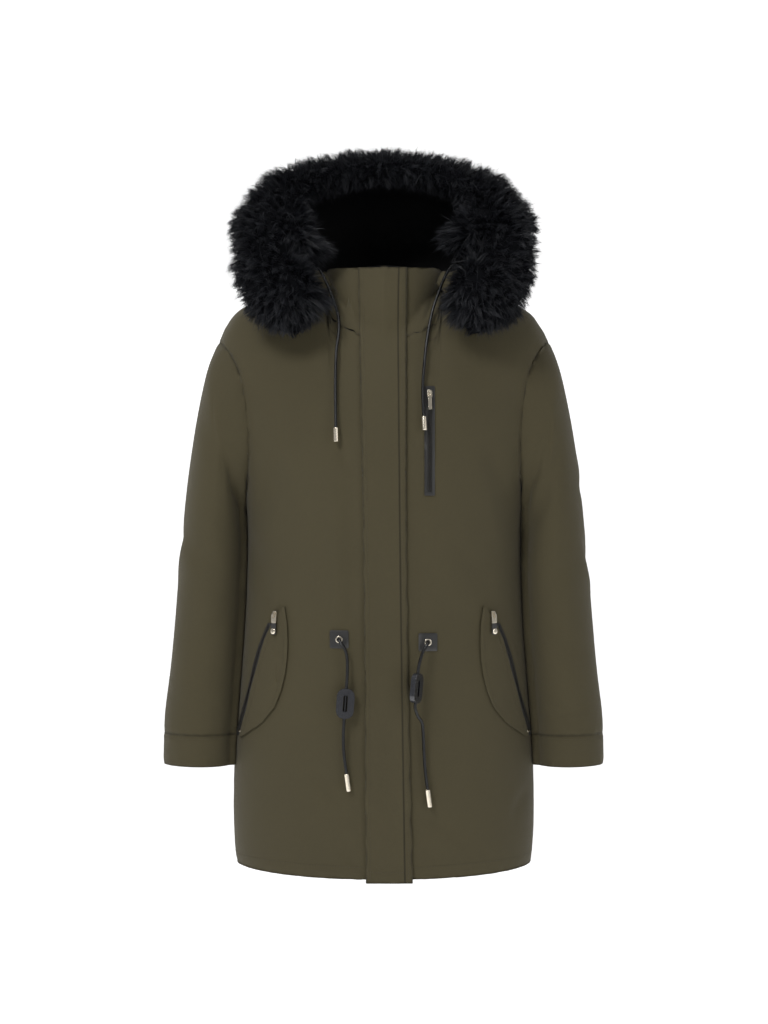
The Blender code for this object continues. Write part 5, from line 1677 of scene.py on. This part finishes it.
# --- Pockets and zips ---
@dataclass
class Trimmings:
    """The patches, the chest zip and the hip pockets, laid on the finished fronts."""

    teeth_pitch: float = 0.0024

    def build(self, cloth: dict) -> dict:
        """Every trimming.

        Args:
            cloth: the finished panels by node name.

        Returns:
            The pocket flaps by node name.
        """
        flaps = {}
        for side in SIDES:
            ground = Ground((f"front_{side}",), (cloth[f"front_{side}"],))
            patch = laid_piece(f"waist_patch_{side}", f"leather_patch_{side}", ground, 0.0005)
            shown(patch, LEATHER, COAT, f"waist_patch_{side}")
            node = f"pocket_flap_{side}"
            flap = laid_piece(node, f"cloth_{node}", ground, 0.0009)
            flaps[node] = shown(flap, OLIVE, COAT, node)
            # Seam and row at 1: no painted seam shade on the flap.
            for name in ("seam", "row"):
                store(flap, name, np.full(len(flap.data.vertices), 1.0))
            self.lay_flat_map(flap)
            tape = laid_piece(f"pocket_zip_{side}", f"tape_pocket_{side}", ground, 0.0002)
            shown(tape, TAPE, COAT, f"pocket_zip_{side}")
            self.teeth(f"teeth_pocket_{side}", tape, 0.0030)
            self.hardware(side)
        ground = Ground(("front_left",), (cloth["front_left"],))
        welt = laid_piece("chest_welt", "leather_chest_welt", ground, 0.0005)
        shown(welt, LEATHER, COAT, "chest_welt")
        tape = laid_piece("chest_tape", "tape_chest", ground, 0.0002)
        shown(tape, TAPE, COAT, "chest_tape")
        self.teeth("teeth_chest", tape, 0.0026)
        shown(machined("chest_slider", 0.0004), GOLD, COAT, "chest_slider")
        shown(machined("chest_pull", 0.0003), GOLD, "chest_pull", "chest_pull")
        return flaps

    def hardware(self, side: str) -> None:
        """One pocket's slider, stop and pull."""
        for part in ("slider", "stop"):
            node = f"pocket_{part}_{side}"
            shown(machined(node, 0.0004), GOLD, COAT, node)
        for part, finish in (("ring", GOLD), ("stud", GOLD), ("tab", LEATHER)):
            node = f"pocket_{part}_{side}"
            shown(machined(node, 0.0003), finish, f"pocket_pull_{side}", node)

    def lay_flat_map(self, piece: Piece) -> None:
        """Lay a map in metres, across the piece and up it."""
        corners = points_of(piece)[corners_of(piece)]
        cloth_map = piece.data.uv_layers.new(name="Cloth")
        cloth_map.data.foreach_set("uv", corners[:, (0, 2)].astype(np.float32).ravel())

    def teeth(self, name: str, tape: Piece, width: float) -> None:
        """Two interlocked rows of teeth down the middle of a tape.

        Args:
            name: the new piece's name.
            tape: the finished tape.
            width: a tooth's width.
        """
        points = points_of(tape)
        ground = Ground((), (tape,))
        low, high = points[:, 2].min(), points[:, 2].max()
        heights = np.arange(low + 0.003, high - 0.003, self.teeth_pitch / 2)
        places, middles = [], []
        for height in heights:
            near = points[np.abs(points[:, 2] - height) < 0.006]
            middles.append((near[:, 0].min() + near[:, 0].max()) / 2)
        middles = np.convolve(np.pad(middles, 4, mode="edge"), np.ones(9) / 9, mode="valid")
        for number, (x, height) in enumerate(zip(middles, heights)):
            met = ground.drop(np.array([x, -0.5, height]), np.array([0.0, 1.0, 0.0]))
            if met is None:
                continue
            step = np.array([np.gradient(middles)[number], 0.0, self.teeth_pitch / 2])
            along = unit(step - met[1] * (step @ met[1]))
            across = unit(np.cross(met[1], along)) * (1 if number % 2 else -1)
            places.append((met[0], along, across, met[1]))
        half, deep, rise = self.teeth_pitch * 0.42, width / 2, 0.0008
        corners = [
            (-half, -0.1 * deep, 0),
            (half, -0.1 * deep, 0),
            (half, deep, 0),
            (-half, deep, 0),
            (-half * 0.7, -0.3 * deep, rise),
            (half * 0.7, -0.3 * deep, rise),
            (half * 0.6, deep * 0.85, rise),
            (-half * 0.6, deep * 0.85, rise),
        ]
        faces = [[0, 3, 2, 1], [4, 5, 6, 7], [0, 1, 5, 4], [1, 2, 6, 5], [2, 3, 7, 6], [3, 0, 4, 7]]
        piece = repeated(name, np.array(corners), faces, places)
        piece.data.shade_flat()
        shown(piece, TEETH, COAT)


# --- Fur ---
@dataclass(frozen=True)
class Stand:
    """How one kind of hair stands: its sizes in metres, and its other sizes as shares of its length."""

    length: float
    lengths: tuple
    deepest: float
    wander: float
    rise: tuple
    lift: float
    tip_lean: float
    root_depth: float
    root_lean: float
    bow: float


TUFT = Stand(0.036, (0.72, 1.12), 0.95, 0.275, (-0.006, 0.0035), 0.011, 0.55, 0.86, 0.25, 0.16)
WISP = Stand(0.046, (0.6, 1.1), 1.05, 0.55, (-0.002, 0.0075), 0.008, 0.5, 0.8, 0.2, 0.14)


@dataclass(frozen=True)
class Hair:
    """The sizes of the fur's hair, in metres, and how it lies."""

    root_width: float = 0.00108
    tuft_radius: float = 0.0062
    gather: float = 0.82
    lean: float = 0.62
    curl: float = 0.0016
    stations: int = 4


@dataclass
class FurRuff:
    """The hood's long pile fur edge: a dark ground, and tufts of hair that stand out from it."""

    spine: tuple = (
        (0.124, -0.125, -0.01),
        (0.134, -0.123, 0.022),
        (0.147, -0.118, 0.048),
        (0.166, -0.113, 0.074),
        (0.177, -0.099, 0.113),
        (0.159, -0.052, 0.17),
        (0.148, -0.026, 0.208),
        (0.101, -0.002, 0.235),
        (0.05, 0.008, 0.248),
        (0.0, 0.01, 0.2525),
    )
    hair: Hair = field(default_factory=Hair)
    tufts: int = 3200
    hairs_per_tuft: int = 21
    wisps: int = 5000
    ground_depth: float = 0.013
    closing_reach: float = 0.036
    parts: int = 5
    seed: int = 7

    def build(self) -> None:
        """The fur's ground and its hair, in several pieces along the ruff."""
        ground = self.ground()
        draw = np.random.default_rng(self.seed)
        places, normals = self.scatter(draw, self.tufts)
        paths, tones = self.tuft_hair(draw, places, normals)
        loose, loose_normals = self.scatter(draw, self.wisps)
        wisps, wisp_tones = self.wisp_hair(draw, loose, loose_normals)
        facing = np.concatenate([np.repeat(normals, self.hairs_per_tuft, axis=0), loose_normals])
        paths = np.concatenate([paths, wisps])
        tones = np.concatenate([tones, wisp_tones])
        walked = self.nearest(paths[:, 0])[1]
        order = np.argsort(walked, kind="stable")
        for number, chosen in enumerate(np.array_split(order, self.parts)):
            name = f"fur_hair_{number + 1}"
            strands = self.ribbons(name, paths[chosen], facing[chosen], tones[chosen], draw)
            shown(strands, FUR, COAT, "fur_ruff")
        shown(ground, PELT, COAT, "fur_ruff")

    def ground(self) -> Piece:
        """Build the dark ground under the hair, a little inside the fur's reach.

        Returns:
            The ground.
        """
        ground = merged_copy("fur_ruff", "fur_ground")
        quadded(ground)
        apply_modifier(ground, "SUBSURF", levels=1, render_levels=1)
        off = points_of(ground) - self.nearest(points_of(ground))[0]
        deep = norm(off, axis=1, keepdims=True)
        sunk = np.minimum(self.ground_depth, deep * 0.45) * (1 - self.by_hood(points_of(ground)))[:, None]
        closing = self.to_hood(points_of(ground), normals_of(ground))
        move_points(ground, points_of(ground) - unit(off) * sunk + closing)
        ground.data.shade_smooth()
        return ground

    @staticmethod
    def hood_tree() -> BVHTree:
        """The hood's surface, for the nearest places on it."""
        return node_surface((*HOOD_PANELS, "hood_lining"))

    def by_hood(self, points: Array) -> Array:
        """1 where the fur is sewn to the hood's edge, and 0 away from it."""
        tree = self.hood_tree()
        away = np.array([tree.find_nearest(Vector(point))[3] for point in points])
        return smoothstep(0.034, 0.014, away)

    def to_hood(self, points: Array, normals: Array) -> Array:
        """How far the fur that faces the hood moves to close on it, furthest on the low lobes.

        Args:
            points: points on the fur.
            normals: the surface's normals there.

        Returns:
            The way that each point moves.
        """
        tree = self.hood_tree()
        way = np.array([tuple(tree.find_nearest(Vector(point))[0]) for point in points]) - points
        away = np.maximum(norm(way, axis=1), 1e-6)
        facing = (way / away[:, None] * normals).sum(axis=1)
        low = smoothstep(0.150, 0.100, points[:, 2])
        near = 0.014 + 0.031 * low
        share = smoothstep(1.55 * near, near, away) * smoothstep(0.0, 0.4, facing)
        return way * (share * np.minimum(away, self.closing_reach) / away)[:, None]

    def line(self) -> Array:
        """Points along the ruff's middle, from the right lobe over the arch to the left one."""
        left = np.array(self.spine)
        right = left * np.array([-1.0, 1.0, 1.0])
        return through(tuple(map(tuple, np.concatenate([right, left[-2::-1]]))), 160)

    def nearest(self, points: Array) -> tuple:
        """Find the nearest place on the ruff's middle line.

        Args:
            points: points on the fur.

        Returns:
            For each, that place and how far along the line it is, from 0 to 1.
        """
        line = self.line()
        best = np.empty(len(points), int)
        for start in range(0, len(points), 4000):
            off = points[start : start + 4000, None] - line[None]
            best[start : start + 4000] = (off**2).sum(axis=2).argmin(axis=1)
        return line[best], best / (len(line) - 1)

    def scatter(self, draw: Draw, count: int) -> tuple:
        """Evenly scattered points on the fur's reach.

        Args:
            draw: the source of the random numbers.
            count: how many points.

        Returns:
            The points and the surface's smooth normals there.
        """
        reach = merged_copy("fur_ruff", "reach")
        reach.data.calc_loop_triangles()
        corners = np.array([t.vertices[:] for t in reach.data.loop_triangles])
        points, normals = points_of(reach), normals_of(reach)
        a, b, c = (points[corners[:, k]] for k in range(3))
        areas = norm(np.cross(b - a, c - a), axis=1)
        several = 3
        chosen = draw.choice(len(corners), count * several, p=areas / areas.sum())
        mix = draw.dirichlet((1.0, 1.0, 1.0), count * several)[:, :, None]
        found = (points[corners[chosen]] * mix).sum(axis=1)
        ways = unit((normals[corners[chosen]] * mix).sum(axis=1))
        bpy.data.objects.remove(reach)
        kept = self.spread(found, count)
        return found[kept] + self.to_hood(found[kept], ways[kept]), ways[kept]

    @staticmethod
    def spread(points: Array, count: int) -> Array:
        """Choose points that keep their distance from each other, as far as there are enough.

        Args:
            points: the points.
            count: how many to choose.

        Returns:
            The chosen points' numbers.
        """
        reach = 0.0042
        cells: dict = {}
        kept, rest = [], []
        for number, point in enumerate(points):
            cell = tuple((point // reach).astype(int))
            if cell in cells:
                rest.append(number)
            else:
                cells[cell] = number
                kept.append(number)
        return np.array((kept + rest)[:count])

    def comb(self, places: Array, normals: Array) -> Array:
        """Find the way that the hair leans, along the surface.

        Args:
            places: points on the fur.
            normals: the surface's normals there.

        Returns:
            The way at each place.
        """
        share = self.nearest(places)[1]
        line = self.line()
        along = unit(np.gradient(line, axis=0))[(share * (len(line) - 1)).astype(int)]
        outward = np.where(share < 0.5, -1.0, 1.0)[:, None]
        low = smoothstep(0.24, 0.05, 1.0 - 2 * np.abs(share - 0.5))[:, None]
        way = along * outward * (0.25 + 0.35 * low) + np.array([0.0, 0.1, -0.35])
        way += 0.5 * unit((places - np.array([0.0, 0.0, 0.13])) * np.array([1.0, 0.0, 0.6]))
        return way - normals * (way * normals).sum(axis=1, keepdims=True)

    @staticmethod
    def fall_in(places: Array, normals: Array) -> Array:
        """How far the hair beside the opening falls in over it and over the collar.

        Args:
            places: points on the fur.
            normals: the surface's normals there.

        Returns:
            The way that each hair's tip moves.
        """
        side = np.sign(places[:, 0])
        facing = smoothstep(-0.1, 0.8, -normals[:, 0] * side)
        low = np.exp(-(((places[:, 2] - np.where(side < 0, 0.034, 0.016)) / 0.028) ** 2))
        height = np.where(side < 0, 0.120, 0.142)
        tuft = np.exp(-(((places[:, 2] - height) / 0.024) ** 2))
        reach = facing * (0.020 * low + 0.026 * tuft)
        return np.stack([-side * reach, -0.25 * reach, -0.2 * reach], axis=1)

    def stems(self, draw: Draw, places: Array, normals: Array, stand: Stand) -> tuple:
        """Root one kind of hair and stand it up.

        Args:
            draw: the source of the random numbers.
            places: points on the fur.
            normals: the surface's normals there.
            stand: how the hair stands.

        Returns:
            The roots, the tips, the way that each hair bows and the way that it leans.
        """
        depth = norm(places - self.nearest(places)[0], axis=1)
        length = stand.length * draw.uniform(*stand.lengths, len(places))
        length = np.minimum(length, depth * stand.deepest)[:, None]
        lean = self.comb(places, normals) * self.hair.lean
        lean += np.cross(normals, draw.normal(size=places.shape)) * stand.wander
        rise = draw.uniform(*stand.rise, len(places))[:, None]
        tips = places + normals * rise + self.fall_in(places, normals)
        tips += normals * (stand.lift * self.by_hood(places))[:, None]
        tips += lean * length * stand.tip_lean
        roots = places - normals * (length * stand.root_depth) - lean * length * stand.root_lean
        return roots, tips, normals * (length * stand.bow), lean

    def tuft_hair(self, draw: Draw, places: Array, normals: Array) -> tuple:
        """Gather hairs into tufts.

        Args:
            draw: the source of the random numbers.
            places: where the tufts stand.
            normals: the surface's normals there.

        Returns:
            Each hair's path and its tone.
        """
        hair = self.hair
        many = (len(places), self.hairs_per_tuft)
        roots, tips, bow, lean = self.stems(draw, places, normals, TUFT)
        side = unit(np.cross(normals, unit(lean + 1e-6)))
        other = np.cross(normals, side)
        turn = draw.uniform(0, 2 * math.pi, many)
        size = hair.tuft_radius * np.sqrt(draw.uniform(0, 1, many))
        spread = side[:, None] * (np.cos(turn) * size)[:, :, None]
        spread = spread + other[:, None] * (np.sin(turn) * size)[:, :, None]
        reach = draw.uniform(0.72, 1.05, many)
        t = np.linspace(0, 1, hair.stations)[None, None, :, None] * reach[:, :, None, None]
        base = roots[:, None, None] + (tips - roots)[:, None, None] * t
        base = base + bow[:, None, None] * (4 * t * (1 - t))
        close = 1 - hair.gather * t**1.3
        wave = draw.normal(size=(*many, 1, 3)) * hair.curl * t * (1.2 - t)
        swing = draw.normal(size=(*many, 1, 3)) * 0.0016 * t**2
        paths = base + spread[:, :, None] * close + wave + swing
        tuft_tone = draw.uniform(0.15, 1.0, (len(places), 1)) ** 1.5
        tones = np.clip(tuft_tone * draw.uniform(0.5, 1.3, many), 0, 1)
        return paths.reshape(-1, hair.stations, 3), tones.reshape(-1)

    def wisp_hair(self, draw: Draw, places: Array, normals: Array) -> tuple:
        """Stand single longer hairs between the tufts.

        Args:
            draw: the source of the random numbers.
            places: where the hairs stand.
            normals: the surface's normals there.

        Returns:
            Each hair's path and its tone.
        """
        hair = self.hair
        roots, tips, bow, _ = self.stems(draw, places, normals, WISP)
        t = np.linspace(0, 1, hair.stations)[None, :, None]
        paths = roots[:, None] + (tips - roots)[:, None] * t + bow[:, None] * 4 * t * (1 - t)
        paths = paths + draw.normal(size=(len(places), 1, 3)) * hair.curl * 1.6 * t * (1.4 - t)
        return paths, draw.uniform(0.3, 1.0, len(places))

    def ribbons(self, name: str, paths: Array, facing: Array, tones: Array, draw: Draw) -> Piece:
        """Hairs as thin tapered ribbons in one mesh.

        Args:
            name: the new piece's name.
            paths: each hair's points, from root to tip.
            facing: the way that each ribbon faces.
            tones: each hair's tone.
            draw: the source of the random numbers.

        Returns:
            The mesh piece, with the attributes "along" and "tone".
        """
        count, stations = paths.shape[:2]
        ways = unit(np.gradient(paths, axis=1))
        turned = unit(facing + 0.35 * draw.normal(size=facing.shape))
        side = unit(np.cross(ways, turned[:, None]))
        share = np.linspace(0, 1, stations)
        width = self.hair.root_width * (1 - share**1.5) * 0.5
        width = width[None, :, None] * draw.uniform(0.6, 1.15, (count, 1, 1))
        left, right = paths - side * width, paths + side * width
        body = np.stack([left[:, :-1], right[:, :-1]], axis=2).reshape(count, -1, 3)
        points = np.concatenate([body, paths[:, -1:]], axis=1)
        each = points.shape[1]
        quads = [[2 * k, 2 * k + 1, 2 * k + 3, 2 * k + 2] for k in range(stations - 2)]
        last = [each - 3, each - 2, each - 1]
        starts = (np.arange(count) * each)[:, None]
        loops = (starts + np.array(sum(quads, []) + last)[None]).ravel()
        mesh = bpy.data.meshes.new(name)
        mesh.vertices.add(count * each)
        mesh.vertices.foreach_set("co", points.astype(np.float32).ravel())
        mesh.loops.add(len(loops))
        mesh.loops.foreach_set("vertex_index", loops.astype(np.int32))
        sizes = np.tile([4] * len(quads) + [3], count)
        mesh.polygons.add(len(sizes))
        loop_starts = np.concatenate([[0], np.cumsum(sizes)[:-1]])
        mesh.polygons.foreach_set("loop_start", loop_starts.astype(np.int32))
        mesh.update(calc_edges=True)
        mesh.shade_smooth()
        piece = bpy.data.objects.new(name, mesh)
        bpy.context.scene.collection.objects.link(piece)
        store(piece, "tone", np.repeat(tones, each))
        store(piece, "along", np.tile(np.append(np.repeat(share[:-1], 2), 1.0), count))
        return piece


# --- Cuts ---
@dataclass(frozen=True)
class Cut:
    """How a piece of cloth was cut, all round on a tube, before it was sewn: its sizes in metres."""

    node: str
    width: float
    length: float
    area: float
    held: str
    rests_on: tuple = ()

    def declare(self, cloth: dict) -> None:
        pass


CUTS = (
    Cut("front_right", 0.290, 0.885, 0.2285, "hung", ("back", "collar_right")),
    Cut("front_left", 0.290, 0.885, 0.2285, "hung", ("back", "collar_left")),
    Cut("back", 0.575, 0.900, 0.4565, "hung", ("collar_back",)),
    Cut("sleeve_right", 0.370, 0.600, 0.1735, "hung", ("front_right", "back")),
    Cut("sleeve_left", 0.370, 0.600, 0.1735, "hung", ("front_left", "back")),
    Cut("cuff_right", 0.325, 0.047, 0.0148, "hung", ("sleeve_right",)),
    Cut("cuff_left", 0.325, 0.047, 0.0148, "hung", ("sleeve_left",)),
    Cut("collar_right", 0.130, 0.130, 0.0105, "hung", ("front_right",)),
    Cut("collar_left", 0.130, 0.130, 0.0105, "hung", ("front_left",)),
    Cut("collar_back", 0.250, 0.060, 0.0102, "hung", ("back",)),
    Cut("placket", 0.069, 0.890, 0.0612, "laid", ("front_left", "front_right")),
    Cut("hood_side_right", 0.240, 0.270, 0.0468, "hung", ("hood_centre", "collar_back")),
    Cut("hood_side_left", 0.240, 0.270, 0.0468, "hung", ("hood_centre", "collar_back")),
    Cut("hood_centre", 0.175, 0.430, 0.0630, "hung", ("collar_back",)),
    Cut("hood_lining", 0.500, 0.400, 0.1448, "hung", ("hood_centre",)),
    Cut("pocket_flap_right", 0.080, 0.200, 0.0091, "laid", ("front_right",)),
    Cut("pocket_flap_left", 0.080, 0.200, 0.0091, "laid", ("front_left",)),
)


# --- Studio ---
@dataclass
class Studio:
    """The camera, the pale floor and the soft lights."""

    camera_place: tuple = (0.0, -3.0, -0.2655)
    field: float = 1.536
    sensor: float = 36.0
    floor_height: float = -1.40
    floor_sweep: float = 2.2
    sky: float = 1.0
    dim: float = 0.22
    paper_glow: float = 0.48

    def build_camera(self) -> None:
        """A level camera in front of the coat's middle."""
        data = bpy.data.cameras.new("camera")
        data.sensor_width = self.sensor
        data.lens = self.sensor * -self.camera_place[1] / self.field
        camera = bpy.data.objects.new("camera", data)
        camera.location = self.camera_place
        camera.rotation_euler = (math.pi / 2, 0.0, 0.0)
        bpy.context.scene.collection.objects.link(camera)
        bpy.context.scene.camera = camera

    def build_floor(self) -> None:
        """A wide pale floor that sweeps up behind the coat."""
        sweep = self.floor_sweep
        profile = [(-7.0, 0.0), (sweep, 0.0)]
        for turn in np.linspace(0.1, math.pi / 2, 14):
            profile.append((sweep + sweep * math.sin(turn), sweep - sweep * math.cos(turn)))
        profile.append((2 * sweep, 7.0))
        points = np.array([(x, y, self.floor_height + z) for y, z in profile for x in (-9.0, 9.0)])
        faces = [[2 * k, 2 * k + 1, 2 * k + 3, 2 * k + 2] for k in range(len(profile) - 1)]
        floor = mesh_piece("studio_floor", points, faces)
        paint = bpy.data.materials.new("Studio paper")
        paint.use_nodes = True
        shader = paint.node_tree.nodes["Principled BSDF"]
        shader.inputs["Base Color"].default_value = (0.93, 0.93, 0.93, 1.0)
        shader.inputs["Roughness"].default_value = 0.95
        shader.inputs["Emission Color"].default_value = (1.0, 1.0, 1.0, 1.0)
        shader.inputs["Emission Strength"].default_value = self.paper_glow
        floor.data.materials.append(paint)

    def build_lights(self) -> None:
        """A white sky that fades to one side, a key light, a weak fill and a light from above."""
        world = bpy.data.worlds.new("studio")
        world.use_nodes = True
        tree = world.node_tree
        place = tree.nodes.new("ShaderNodeTexCoord")
        parts = tree.nodes.new("ShaderNodeSeparateXYZ")
        fade = tree.nodes.new("ShaderNodeMapRange")
        fade.inputs["From Min"].default_value = -0.25
        fade.inputs["From Max"].default_value = 0.45
        fade.inputs["To Min"].default_value = self.dim
        fade.inputs["To Max"].default_value = self.sky
        tree.links.new(place.outputs["Generated"], parts.inputs[0])
        tree.links.new(parts.outputs["Y"], fade.inputs["Value"])
        tree.links.new(fade.outputs[0], tree.nodes["Background"].inputs["Strength"])
        tree.nodes["Background"].inputs["Color"].default_value = (1.0, 1.0, 1.0, 1.0)
        bpy.context.scene.world = world
        self.light("key", (-1.5, -2.4, 1.9), 1.0, 62.0)
        self.light("fill", (2.4, -2.4, 0.4), 1.6, 16.0)
        self.light("top", (-0.3, -0.3, 2.4), 1.2, 26.0)

    def light(self, name: str, place: tuple, size: float, power: float) -> None:
        """Place a square soft light that faces the coat's middle.

        Args:
            name: the light's name.
            place: where it stands.
            size: its width.
            power: its power in watts.
        """
        data = bpy.data.lights.new(name, "AREA")
        data.size = size
        data.energy = power
        lamp = bpy.data.objects.new(name, data)
        lamp.location = place
        lamp.rotation_euler = (Vector((0.0, 0.0, -0.2)) - Vector(place)).to_track_quat("-Z", "Y").to_euler()
        bpy.context.scene.collection.objects.link(lamp)


# --- The whole coat ---
SEWN_TOGETHER = (
    (*BODY, "sleeve_right", "sleeve_left"),
    ("sleeve_right", "cuff_right"),
    ("sleeve_left", "cuff_left"),
    (*BODY, "collar_right", "collar_left", "collar_back"),
)
SIDE_SEAM_REACH = 0.012
SIDE_SEAM_EDGE = 0.0024


def main() -> None:
    """Build the coat's pieces in order."""
    logging.basicConfig(level=logging.INFO, format="%(name)s: %(message)s")
    select_only(None)
    studio = Studio()
    studio.build_camera()
    build_groups()
    Cords().build()
    cloth = Shell().build()
    for maker in (Collar(), Closing(), Hood()):
        cloth.update(maker.build())
    for side in SIDES:
        close_seams([cloth[f"front_{side}"], cloth["back"]], SIDE_SEAM_REACH, SIDE_SEAM_EDGE)
    for names in SEWN_TOGETHER:
        close_seams([cloth[name] for name in names])
    NeckSeam().slide(cloth)
    close_seams([cloth[name] for name in HOOD_PANELS])
    cloth.update(Trimmings().build(cloth))
    Topstitching().build(cloth)
    FurRuff().build()
    for cut in CUTS:
        cut.declare(cloth)
    studio.build_floor()
    studio.build_lights()
    bpy.context.scene.view_settings.view_transform = "Standard"
    select_only(None)


if __name__ == "__main__":
    main()
